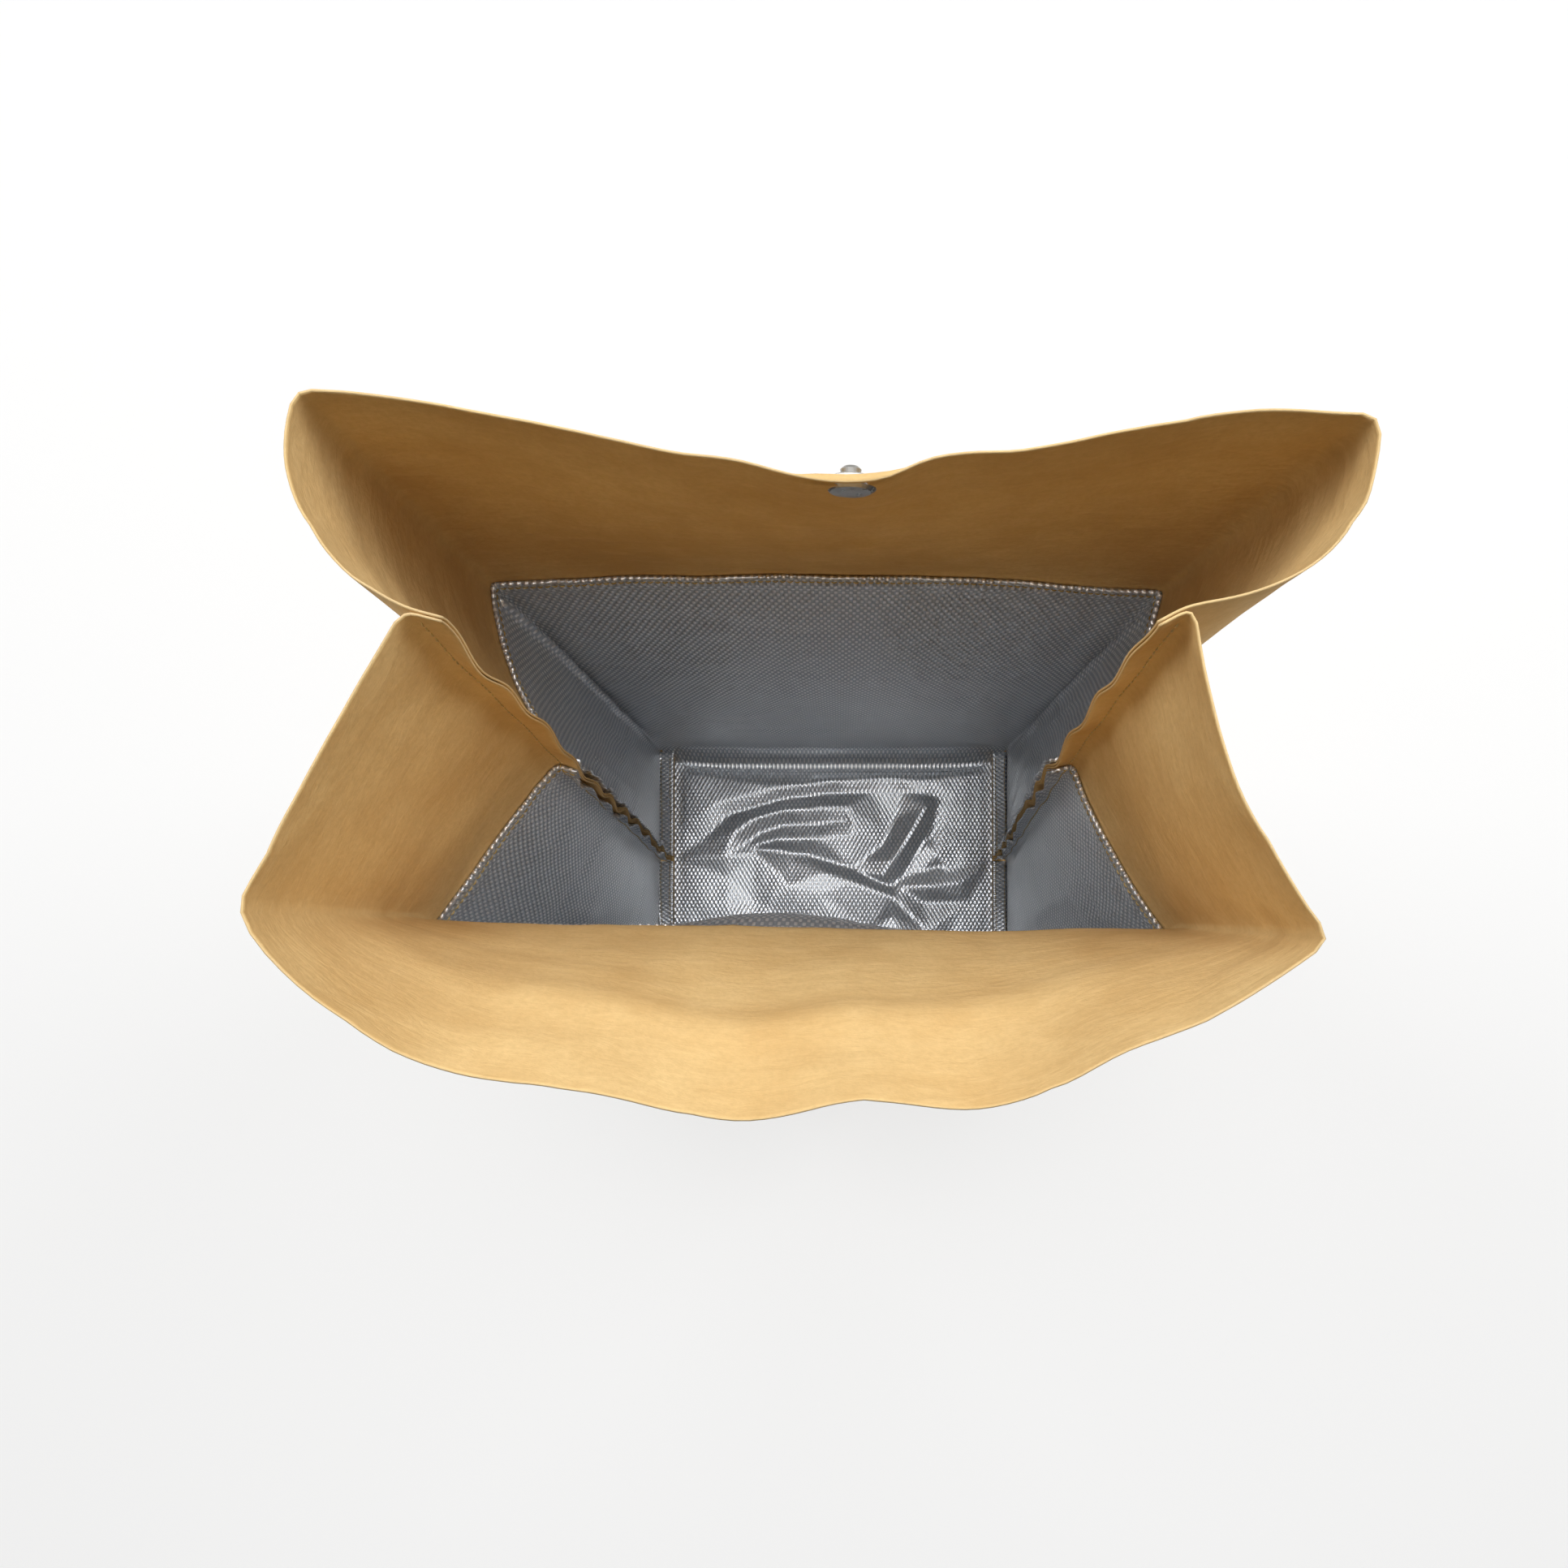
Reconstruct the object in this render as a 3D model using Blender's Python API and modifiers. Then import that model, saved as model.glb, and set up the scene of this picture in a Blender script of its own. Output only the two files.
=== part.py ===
"""A paper cooler bag that stands open: one folded and sewn sheet of washable kraft paper, a foil
lining hemmed below the open top, the sewing threads, and a press stud that holds the top down
when it is folded over to the back.

Metres, +Z up, +Y towards the back panel, +X to the right as seen from the front. The origin is
the middle of the base's underside. Each wall is a grid of points: its columns run across the
sheet from raw edge to raw edge, and its rows run up from the base.
"""
import math

import bmesh
import bpy
from mathutils import Matrix, Vector

# Driving dimensions of the bag
BAG_WIDTH = 0.220
BAG_DEPTH = 0.140
LINED_HEIGHT = 0.277
OPEN_TOP_HEIGHT = 0.106
CREASE_RISE = 0.008
SIDE_ALLOWANCE = 0.008
BASE_ALLOWANCE = 0.010
HEM_DEPTH = 0.008
CORNER_SLIT = 0.005
SEAM_SLIT = 0.003
SEAM_FOOT = 0.006

# Sheet and thread sizes
PAPER_THICKNESS = 0.0005
LINING_THICKNESS = 0.0003
THREAD_DIAMETER = 0.0004
CLEARANCE = 0.0003

# How slack the lining hangs off the paper, and how high its loose folds stand on the base
WALL_SLACK = 0.003
BASE_FOLD_HEIGHT = 0.0045
BASE_FOLD_WIDTH = 0.016

# Press stud: a cap and its post inside, the stud outside, and the socket lower down
SNAP_DROP = 0.0075
SNAP_RIGHT = 0.0028
CAP_DIAMETER = 0.011
CAP_HEIGHT = 0.0012
POST_DIAMETER = 0.0026
HIDDEN_CAP_HEIGHT = 0.0007
STUD_DIAMETER = 0.010
STUD_BASE_HEIGHT = 0.0010
NUB_DIAMETER = 0.0046
NUB_HEIGHT = 0.0020
SOCKET_DIAMETER = 0.0115
SOCKET_HEIGHT = 0.0028
SOCKET_FLOOR = 0.0008
SOCKET_LIP = 0.0004
SOCKET_SHOULDER = 0.0012
DRILL_DEPTH = 0.006

# How far each upright fold has moved from straight above its foot, right and back: at the
# lining's top edge, at the crease from which the front panel opens out, and at the rim
LEANS = {
    "front_left": ((-0.0180, 0.0295), (-0.0180, 0.0328), (-0.0087, 0.0350)),
    "front_right": ((0.0005, 0.0265), (0.0002, 0.0298), (-0.0079, 0.0292)),
    "back_left": ((0.0000, 0.0020), (0.0002, 0.0019), (0.0030, 0.0007)),
    "back_right": ((-0.0010, 0.0000), (-0.0007, -0.0003), (0.0030, -0.0042)),
    "seam_left": ((0.0220, 0.0140), (0.0222, 0.0149), (0.0249, 0.0260)),
    "seam_right": ((-0.0310, 0.0140), (-0.0313, 0.0150), (-0.0348, 0.0268)),
}

# How far the rim stands out from the straight line between its corners, by share of the width
FRONT_RIM = ((0, 0), (0.02, 0.007), (0.07, 0.018), (0.17, 0.031), (0.32, 0.036), (0.45, 0.0410),
             (0.56, 0.0365), (0.68, 0.038), (0.76, 0.033), (0.81, 0.026), (0.91, 0.0145), (1, 0))
BACK_RIM = ((0, 0), (0.08, 0.001), (0.19, 0.0045), (0.34, 0.0108), (0.40, 0.0117),
            (0.46, 0.0142), (0.54, 0.0142), (0.59, 0.0105), (0.67, 0.0082), (0.76, 0.0043),
            (0.88, 0.0002), (1, 0))
FRONT_KNEE_RISE = 0.68
FRONT_KNEE_OUT = 0.62
BACK_SHOULDER = 0.004
GUSSET_SWELL = {"front_left": 0.0010, "front_right": -0.0050, "back_left": 0.0105,
                "back_right": 0.0120}
WALL_WAVE = 0.0012
FIN_WAVE = 0.0010
FIN_TURN = math.radians(20)

# How finely the sheets are divided
PANEL_CELLS = 13
GUSSET_CELLS = 4
BASE_CELLS = 9
ROW_STEP = 0.025
TURNED_STEPS = 24

# Levels that follow from the sizes above
RIM_HEIGHT = LINED_HEIGHT + OPEN_TOP_HEIGHT
CREASE_HEIGHT = LINED_HEIGHT + CREASE_RISE
LINING_STEP = PAPER_THICKNESS / 2 + CLEARANCE + LINING_THICKNESS / 2
HEM_STEP = LINING_THICKNESS + CLEARANCE
HALF_SEAM = CLEARANCE / 2 + PAPER_THICKNESS / 2
BASE_LEVEL = PAPER_THICKNESS / 2
TURN_LEVEL = BASE_LEVEL + 2 * LINING_STEP + HEM_STEP
FLANGE_LEVEL = TURN_LEVEL + PAPER_THICKNESS + CLEARANCE
THREAD_STEP = LINING_THICKNESS / 2 + CLEARANCE + THREAD_DIAMETER / 2
SNAP_ROW = RIM_HEIGHT - SNAP_DROP
SOCKET_ROW = 2 * LINED_HEIGHT - SNAP_ROW
HEM_ROW = LINED_HEIGHT - HEM_DEPTH
STITCH_ROW = LINED_HEIGHT - HEM_DEPTH / 2
HOLE_DIAMETER = POST_DIAMETER + 2 * CLEARANCE

OBJECT_NAME = "paper_cooler_bag"


def clear_scene():
    for item in list(bpy.data.objects):
        bpy.data.objects.remove(item, do_unlink=True)


def new_collection(name):
    collection = bpy.data.collections.new(name)
    bpy.context.scene.collection.children.link(collection)
    return collection


def material(name, colour, roughness, metallic=0.0):
    made = bpy.data.materials.new(name)
    made.use_nodes = True
    shader = made.node_tree.nodes["Principled BSDF"]
    shader.inputs["Base Color"].default_value = (*colour, 1.0)
    shader.inputs["Roughness"].default_value = roughness
    shader.inputs["Metallic"].default_value = metallic
    return made


def along(points, x):
    """The height at x of a smooth curve through the given (x, height) points."""
    last = len(points) - 1
    i = 0
    while i < last - 1 and x > points[i + 1][0]:
        i += 1

    def slope(k):
        before = points[max(k - 1, 0)]
        after = points[min(k + 1, last)]
        return (after[1] - before[1]) / (after[0] - before[0])

    x0, y0 = points[i]
    x1, y1 = points[i + 1]
    span = x1 - x0
    t = (x - x0) / span
    start = (1 + 2 * t) * (1 - t) ** 2 * y0 + t * t * (3 - 2 * t) * y1
    return start + span * (t * (1 - t) ** 2 * slope(i) - t * t * (1 - t) * slope(i + 1))


def upright(name, height):
    """The point of one upright fold at a height along the sheet."""
    side = {"left": -1, "right": 1}[name.split("_")[1]]
    depth = {"front": -1, "back": 1, "seam": 0}[name.split("_")[0]]
    levels = (0.0, LINED_HEIGHT, CREASE_HEIGHT, RIM_HEIGHT)
    leans = ((0.0, 0.0), *LEANS[name])
    k = min(sum(height > level for level in levels[1:]), 2)
    share = (height - levels[k]) / (levels[k + 1] - levels[k])
    lean = [low + share * (high - low) for low, high in zip(leans[k], leans[k + 1])]
    x = side * BAG_WIDTH / 2 + lean[0]
    y = depth * BAG_DEPTH / 2 + lean[1]
    return Vector((x, y, BASE_LEVEL + height))


def open_share(height, start):
    """0 up to the height at which a panel starts to open out, and 1 at the rim."""
    return min(max(0.0, height - start) / (RIM_HEIGHT - start), 1.0)


def panel_point(side, u, height):
    """A point of the front or back panel, u across it from left to right."""
    left = upright(side + "_left", height)
    right = upright(side + "_right", height)
    point = left.lerp(right, u)
    start = CREASE_HEIGHT if side == "front" else LINED_HEIGHT
    top = open_share(height, start)
    wall = min(height / LINED_HEIGHT, 1.0)
    wave = WALL_WAVE * math.sin(math.pi * u) * math.sin(math.pi * wall)
    if side == "front":
        middle = 1 - abs(2 * u - 1)
        knee = 1 - (1 - FRONT_KNEE_RISE) * middle
        share = 1 - (1 - FRONT_KNEE_OUT) * middle
        reach = share * top / knee
        if top > knee:
            reach = share + (1 - share) * (top - knee) / (1 - knee)
        out = along(FRONT_RIM, u) * reach
        point.y -= out + wave * math.sin(9 * u + 5 * wall)
    else:
        out = along(BACK_RIM, u) * top
        shoulder = BACK_SHOULDER * math.sin(math.pi * u)
        point.y += shoulder * (wall ** 4 * (1 - top) - 0.6 * math.sin(math.pi * wall))
        point.y -= out + wave * math.sin(8 * u + 4 * wall)
    rise = top * (RIM_HEIGHT - start)
    point.z -= rise - math.sqrt(max(rise * rise - out * out, 0.0))
    return point


def fin_frame(end, height):
    """The direction in which a side seam's allowance points, and the way across it to the back."""
    turn = FIN_TURN * height / RIM_HEIGHT
    direction = Vector((-end * math.cos(turn), -math.sin(turn), 0))
    across = Vector((-end * math.sin(turn), math.cos(turn), 0))
    return direction, across


def seam_point(side, end_name, height, out):
    """A point of a side seam's allowance, out metres from the seam."""
    end = {"left": -1, "right": 1}[end_name]
    direction, across = fin_frame(end, height)
    layer = {"front": -1, "back": 1}[side]
    wave = FIN_WAVE * (math.sin(190 * height + end) + 0.6 * math.sin(83 * height))
    wave *= out / SIDE_ALLOWANCE
    root = upright("seam_" + end_name, height)
    return root + direction * out + across * (layer * HALF_SEAM + wave)


def gusset_point(side, end_name, t, height):
    """A point of one half of a gusset, t from the seam to the panel's corner."""
    root = seam_point(side, end_name, height, 0)
    corner = upright(side + "_" + end_name, height)
    point = root.lerp(corner, t)
    chord = corner - root
    outward = Vector((-chord.y, chord.x, 0)).normalized()
    end = {"left": -1, "right": 1}[end_name]
    if outward.x * end < 0:
        outward = -outward
    swell = GUSSET_SWELL[side + "_" + end_name] * min(height / RIM_HEIGHT, 1.0) ** 3
    return point + outward * swell * math.sin(math.pi * t ** 1.1) ** 0.8


def spread(keys, step):
    """The given values with even steps filled in, none longer than step."""
    values = [keys[0]]
    for low, high in zip(keys, keys[1:]):
        count = max(1, math.ceil((high - low) / step - 1e-6))
        for i in range(1, count):
            values.append(low + (high - low) * i / count)
        values.append(high)
    return values


def wall_rows():
    keys = [SEAM_FOOT, SOCKET_ROW - SNAP_DROP, SOCKET_ROW + SNAP_DROP,
            HEM_ROW - HEM_DEPTH / 2, HEM_ROW, STITCH_ROW, LINED_HEIGHT,
            CREASE_HEIGHT, RIM_HEIGHT - 2 * SNAP_DROP, RIM_HEIGHT]
    return [0.0] + spread(keys, ROW_STEP)


def gusset_shares():
    """Shares of a gusset's half from the seam to the corner, both ends left out."""
    half = BAG_DEPTH / 2
    return spread([SEAM_SLIT / half, 1 - CORNER_SLIT / half], 1 / GUSSET_CELLS)


def wall_columns():
    """What each column of a wall is, from the left raw edge to the right one."""
    fin = [("fin", SIDE_ALLOWANCE), ("fin", SIDE_ALLOWANCE / 4), ("fin", 0.0)]
    gusset = [("gusset", t) for t in gusset_shares()]
    left = [(kind + "_left", value) for kind, value in fin + gusset]
    right = [(kind + "_right", value) for kind, value in fin + gusset]
    panel = [("panel", i / PANEL_CELLS) for i in range(PANEL_CELLS + 1)]
    return left + panel + right[::-1]


def wall_point(side, column, height):
    kind, value = column
    if kind == "panel":
        return panel_point(side, value, height)
    part, end_name = kind.split("_")
    if part == "fin":
        point = seam_point(side, end_name, height, value)
    else:
        point = gusset_point(side, end_name, value, height)
    point.z = max(point.z, FLANGE_LEVEL)
    return point


class Sheet:
    """One folded sheet: named points, and the faces between them."""

    def __init__(self):
        self.points = {}
        self.faces = []

    def face(self, *keys):
        self.faces.append(keys)

    def make_mesh(self, name, moved=None):
        """A mesh of the sheet, whose faces point into the bag, and its points' keys in order."""
        used = sorted({key for keys in self.faces for key in keys})
        index = {key: i for i, key in enumerate(used)}
        places = moved or self.points
        mesh = bpy.data.meshes.new(name)
        mesh.from_pydata([places[key] for key in used], [],
                         [[index[key] for key in keys] for keys in self.faces])
        return mesh, used


def flatten_cell(sheet, keys):
    """Moves a cell's four points onto one plane, and returns its middle and outward normal."""
    corners = [sheet.points[key] for key in keys]
    middle = sum(corners, Vector()) / 4
    normal = (corners[2] - corners[0]).cross(corners[3] - corners[1]).normalized()
    if normal.y < 0:
        normal = -normal
    for key, corner in zip(keys, corners):
        sheet.points[key] = corner - normal * (corner - middle).dot(normal)
    return middle, normal


def folded_sheet(rows, columns):
    """The whole bag as one sheet at mid thickness: two walls, the base and its allowances."""
    sheet = Sheet()
    kinds = [kind for kind, value in columns]
    first_panel = kinds.index("panel")
    for side in ("front", "back"):
        for j, height in enumerate(rows):
            for i, column in enumerate(columns):
                sheet.points[(side, i, j)] = wall_point(side, column, height)
        for j in range(len(rows) - 1):
            for i in range(len(columns) - 1):
                in_fin = "fin" in kinds[i] and "fin" in kinds[i + 1]
                if j == 0 and in_fin:
                    continue
                keys = [(side, i, j), (side, i + 1, j), (side, i + 1, j + 1), (side, i, j + 1)]
                sheet.face(*(keys if side == "back" else keys[::-1]))
        for end, end_name in ((-1, "left"), (1, "right")):
            along_edge = [i for i, kind in enumerate(kinds) if kind == "gusset_" + end_name]
            for i in along_edge:
                edge = sheet.points[(side, i, 0)]
                sheet.points[("flange", side, i)] = edge + Vector((-end * BASE_ALLOWANCE, 0, 0))
            for i, k in zip(along_edge, along_edge[1:]):
                keys = [(side, i, 0), (side, k, 0), ("flange", side, k), ("flange", side, i)]
                sheet.face(*(keys[::-1] if side == "back" else keys))
    base_shares = [0.0] + spread([CORNER_SLIT / BAG_DEPTH, 1 - CORNER_SLIT / BAG_DEPTH],
                                 1 / BASE_CELLS) + [1.0]
    for j, share in enumerate(base_shares):
        for i in range(PANEL_CELLS + 1):
            x = BAG_WIDTH * (i / PANEL_CELLS - 0.5)
            y = BAG_DEPTH * (share - 0.5)
            sheet.points[("base", i, j)] = Vector((x, y, BASE_LEVEL))
        for end, name in ((-1, "turn_left"), (1, "turn_right")):
            edge = Vector((end * BAG_WIDTH / 2, BAG_DEPTH * (share - 0.5), TURN_LEVEL))
            sheet.points[(name, 0, j)] = edge
            sheet.points[(name, 1, j)] = edge - Vector((end * BASE_ALLOWANCE, 0, 0))

    def base_key(i, j):
        if j == 0:
            return ("front", first_panel + i, 0)
        if j == len(base_shares) - 1:
            return ("back", first_panel + i, 0)
        return ("base", i, j)

    for j in range(len(base_shares) - 1):
        for i in range(PANEL_CELLS):
            sheet.face(base_key(i, j), base_key(i + 1, j), base_key(i + 1, j + 1), base_key(i, j + 1))
    for j in range(1, len(base_shares) - 2):
        for name, i in (("turn_left", 0), ("turn_right", PANEL_CELLS)):
            low = [base_key(i, j), base_key(i, j + 1), (name, 0, j + 1), (name, 0, j)]
            high = [(name, 0, j), (name, 0, j + 1), (name, 1, j + 1), (name, 1, j)]
            for keys in (low, high):
                sheet.face(*(keys[::-1] if name == "turn_right" else keys))
    return sheet, base_shares, first_panel


def inward_steps(sheet):
    """For each point of the sheet, the step that moves the sheet in by one unit all round it."""
    mesh, used = sheet.make_mesh("steps")
    probe = bmesh.new()
    probe.from_mesh(mesh)
    probe.normal_update()
    probe.verts.ensure_lookup_table()
    steps = {}
    for key, vert in zip(used, probe.verts):
        steps[key] = vert.normal * vert.calc_shell_factor()
    probe.free()
    bpy.data.meshes.remove(mesh)
    return steps


def add_object(name, mesh, collection, finish):
    made = bpy.data.objects.new(name, mesh)
    mesh.materials.append(finish)
    collection.objects.link(made)
    return made


def thicken(made, thickness):
    """Gives an open sheet its thickness, half to each side, with even walls at the folds."""
    solidify = made.modifiers.new("thickness", "SOLIDIFY")
    solidify.thickness = thickness
    solidify.offset = 0.0
    solidify.use_even_offset = True
    solidify.use_quality_normals = True


def wall_slack(columns, rows, i, j):
    """How far the lining hangs off the paper at a point of a wall: nothing at folds and seams."""
    kind, value = columns[i]
    if rows[j] >= HEM_ROW - HEM_DEPTH / 2 or "fin" in kind:
        return 0.0
    up = math.sin(math.pi * rows[j] / LINED_HEIGHT)
    return WALL_SLACK * math.sin(math.pi * value) * up


def base_slack(i, share):
    """Height of the loose folds in the lining's base: one long curved ridge and two short ones."""
    if i <= 1 or i >= PANEL_CELLS - 1:
        return 0.0
    x = BAG_WIDTH * (i / PANEL_CELLS - 0.5)
    y = BAG_DEPTH * (share - 0.5)
    reach = math.sin(math.pi * share) ** 0.5
    ring = abs(math.hypot(x + 0.005, (y + 0.018) * 1.3) - 0.048)
    left_arc = math.exp(-(ring / BASE_FOLD_WIDTH) ** 2)
    diagonal = abs((x - 0.040) * 0.8 + (y + 0.005) * 0.6)
    right_arc = math.exp(-(diagonal / BASE_FOLD_WIDTH) ** 2) * 0.8
    return BASE_FOLD_HEIGHT * reach * max(left_arc, right_arc)


def make_lining(sheet, steps, rows, columns, base_shares, collection, finish):
    """The lining: the paper's own shape a step further in, folded under at its top edge."""
    top = rows.index(LINED_HEIGHT)
    hem_foot = rows.index(HEM_ROW)
    lining = Sheet()
    for keys in sheet.faces:
        walls = [key for key in keys if key[0] in ("front", "back")]
        if all(key[2] <= top for key in walls):
            lining.face(*keys)
    for side in ("front", "back"):
        for i in range(len(columns) - 1):
            for j in range(hem_foot, top):
                low = [("hem", side, i, j), ("hem", side, i + 1, j)]
                if j == top - 1:
                    high = [(side, i + 1, top), (side, i, top)]
                    turned = [("hem", side, i + 1, top), ("hem", side, i, top)]
                    strip = [high[1], high[0], turned[0], turned[1]]
                    lining.face(*(strip if side == "back" else strip[::-1]))
                    low += turned
                else:
                    low += [("hem", side, i + 1, j + 1), ("hem", side, i, j + 1)]
                lining.face(*(low[::-1] if side == "back" else low))
    moved = {}
    for keys in lining.faces:
        for key in keys:
            if key[0] == "hem":
                source = key[1:]
                distance = LINING_STEP
            elif key[0] in ("front", "back"):
                source = key
                distance = LINING_STEP + wall_slack(columns, rows, key[1], key[2])
                if key[2] >= hem_foot - 1:
                    distance = LINING_STEP + HEM_STEP
            else:
                source = key
                distance = LINING_STEP
                if key[0] == "base":
                    distance += base_slack(key[1], base_shares[key[2]])
            moved[key] = sheet.points[source] + steps[source] * distance
    mesh = lining.make_mesh("foil_lining", moved)[0]
    thicken(add_object("foil_lining", mesh, collection, finish), LINING_THICKNESS)


def thread(name, points, collection, finish):
    """A run of thread: a round tube through the points, closed at both ends."""
    curve = bpy.data.curves.new(name, "CURVE")
    curve.dimensions = "3D"
    curve.bevel_depth = THREAD_DIAMETER / 2
    curve.bevel_resolution = 2
    curve.use_fill_caps = True
    spline = curve.splines.new("POLY")
    spline.points.add(len(points) - 1)
    for place, point in zip(spline.points, points):
        place.co = (*point, 1.0)
    curve.materials.append(finish)
    collection.objects.link(bpy.data.objects.new(name, curve))


def make_threads(sheet, steps, rows, columns, collection, finish):
    """Stitching of the two hems, the two side seams and the two seams of the base."""
    stitch = rows.index(STITCH_ROW)
    on_hem = LINING_STEP + HEM_STEP + THREAD_STEP
    for side in ("front", "back"):
        run = [(side, i, stitch) for i in range(len(columns))]
        points = [sheet.points[key] + steps[key] * on_hem for key in run]
        thread("hem_thread_" + side, points, collection, finish)
    for end_name, i in (("left", 1), ("right", len(columns) - 2)):
        points = []
        for j in range(1, len(rows)):
            key = ("front", i, j)
            distance = PAPER_THICKNESS / 2 + CLEARANCE + THREAD_DIAMETER / 2
            if rows[j] <= LINED_HEIGHT:
                distance = LINING_STEP + THREAD_STEP
            if HEM_ROW - HEM_DEPTH / 2 <= rows[j] <= LINED_HEIGHT:
                distance = on_hem
            if j == stitch:
                distance += THREAD_DIAMETER + CLEARANCE
            points.append(sheet.points[key] + steps[key] * distance)
        thread("side_seam_thread_" + end_name, points, collection, finish)
    level = FLANGE_LEVEL + LINING_STEP + THREAD_STEP
    reach = BAG_DEPTH / 2 - CORNER_SLIT
    shares = spread([-1, 1], 0.25)
    for end, end_name in ((-1, "left"), (1, "right")):
        for label, out in (("base_seam_thread_", LINING_STEP + 3 * THREAD_STEP),
                           ("base_topstitch_thread_", BASE_ALLOWANCE * 0.8)):
            x = end * (BAG_WIDTH / 2 - out)
            points = [Vector((x, share * reach, level)) for share in shares]
            thread(label + end_name, points, collection, finish)


def turned(name, profile, place, collection, finish):
    """A turned piece: a profile of (radius, height) spun about its own axis, set at a place."""
    mesh = bpy.data.meshes.new(name)
    points = [(radius, 0.0, height) for radius, height in profile]
    mesh.from_pydata(points, [(i, i + 1) for i in range(len(points) - 1)], [])
    made = add_object(name, mesh, collection, finish)
    made.matrix_world = place
    screw = made.modifiers.new("turn", "SCREW")
    screw.steps = TURNED_STEPS
    screw.render_steps = TURNED_STEPS
    screw.use_merge_vertices = True
    screw.merge_threshold = 0.00001
    screw.use_smooth_shade = True


def place_on(middle, normal):
    """A matrix whose Z runs out through the paper and whose origin is in the paper's middle."""
    turn = normal.to_track_quat("Z", "Y").to_matrix().to_4x4()
    return Matrix.Translation(middle) @ turn


def drill(made, place, cutters, name):
    """Cuts a round hole for a post through the paper."""
    bpy.ops.mesh.primitive_cylinder_add(vertices=TURNED_STEPS, radius=HOLE_DIAMETER / 2,
                                        depth=DRILL_DEPTH)
    cutter = bpy.context.object
    cutter.name = name
    for old in list(cutter.users_collection):
        old.objects.unlink(cutter)
    cutters.objects.link(cutter)
    cutter.matrix_world = place
    cutter.hide_render = True
    cutter.display_type = "WIRE"
    hole = made.modifiers.new(name, "BOOLEAN")
    hole.operation = "DIFFERENCE"
    hole.solver = "EXACT"
    hole.object = cutter


def make_snap(stud_place, socket_place, collection, finish):
    """The press stud at the rim, and the socket that it meets when the top is folded back."""
    face = PAPER_THICKNESS / 2 + CLEARANCE
    post = POST_DIAMETER / 2
    hole = HOLE_DIAMETER / 2
    cap = CAP_DIAMETER / 2
    stud_recess = face + STUD_BASE_HEIGHT
    turned("snap_stud_cap", [
        (0, stud_recess - CLEARANCE), (post, stud_recess - CLEARANCE), (post, -face), (cap, -face),
        (cap, -face - CAP_HEIGHT * 0.3), (cap * 0.8, -face - CAP_HEIGHT * 0.8),
        (cap * 0.4, -face - CAP_HEIGHT), (0, -face - CAP_HEIGHT)],
        stud_place, collection, finish)
    stud = STUD_DIAMETER / 2
    nub = NUB_DIAMETER / 2
    top = face + STUD_BASE_HEIGHT
    turned("snap_stud", [
        (0, top + NUB_HEIGHT), (nub * 0.7, top + NUB_HEIGHT), (nub, top + NUB_HEIGHT * 0.7),
        (nub * 0.86, top), (stud * 0.8, top), (stud, top - STUD_BASE_HEIGHT * 0.5), (stud, face),
        (hole, face), (hole, stud_recess), (0, stud_recess)],
        stud_place, collection, finish)
    turned("snap_socket_post", [
        (0, face + SOCKET_FLOOR), (post, face + SOCKET_FLOOR), (post, -face),
        (cap * 0.9, -face), (cap * 0.9, -face - HIDDEN_CAP_HEIGHT), (0, -face - HIDDEN_CAP_HEIGHT)],
        socket_place, collection, finish)
    socket = SOCKET_DIAMETER / 2
    well = NUB_DIAMETER / 2 + CLEARANCE
    rim = face + SOCKET_HEIGHT
    turned("snap_socket", [
        (well, rim - SOCKET_LIP), (well + SOCKET_LIP, rim), (socket * 0.75, rim),
        (socket, rim - SOCKET_SHOULDER), (socket, face), (hole, face),
        (hole, face + SOCKET_FLOOR), (well, face + SOCKET_FLOOR), (well, rim - SOCKET_LIP)],
        socket_place, collection, finish)


def build():
    clear_scene()
    parts = new_collection(OBJECT_NAME)
    cutters = new_collection("cutters")
    kraft = material("kraft_paper", (0.62, 0.40, 0.20), 0.85)
    foil = material("foil_lining", (0.60, 0.61, 0.63), 0.28, 1.0)
    yarn = material("sewing_thread", (0.62, 0.48, 0.20), 0.8)
    metal = material("gunmetal_snap", (0.12, 0.12, 0.13), 0.35, 1.0)

    rows = wall_rows()
    columns = wall_columns()
    sheet, base_shares, first_panel = folded_sheet(rows, columns)
    middle_cell = first_panel + PANEL_CELLS // 2
    places = []
    for low in (RIM_HEIGHT - 2 * SNAP_DROP, SOCKET_ROW - SNAP_DROP):
        j = min(range(len(rows)), key=lambda k: abs(rows[k] - low))
        keys = [("back", middle_cell, j), ("back", middle_cell + 1, j),
                ("back", middle_cell + 1, j + 1), ("back", middle_cell, j + 1)]
        middle, normal = flatten_cell(sheet, keys)
        right = (sheet.points[keys[1]] - sheet.points[keys[0]]).normalized()
        places.append(place_on(middle + right * SNAP_RIGHT, normal))
    stud_place, socket_place = places
    steps = inward_steps(sheet)

    mesh = sheet.make_mesh("paper_shell")[0]
    shell = add_object("paper_shell", mesh, parts, kraft)
    thicken(shell, PAPER_THICKNESS)
    drill(shell, stud_place, cutters, "stud_hole")
    drill(shell, socket_place, cutters, "socket_hole")

    make_lining(sheet, steps, rows, columns, base_shares, parts, foil)
    make_threads(sheet, steps, rows, columns, parts, yarn)
    make_snap(stud_place, socket_place, parts, metal)


build()
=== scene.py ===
"""Looks of a paper cooler bag: washed kraft paper, a dotted foil lining, stitching, a press stud,
and a pale studio seen from the photograph's angle. Metres, +Z up, +Y towards the back panel."""
import math

import bpy
import numpy as np
from mathutils import Matrix, Vector
from mathutils.bvhtree import BVHTree
from mathutils.geometry import delaunay_2d_cdt
from bpy.props import FloatProperty, FloatVectorProperty, PointerProperty


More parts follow.
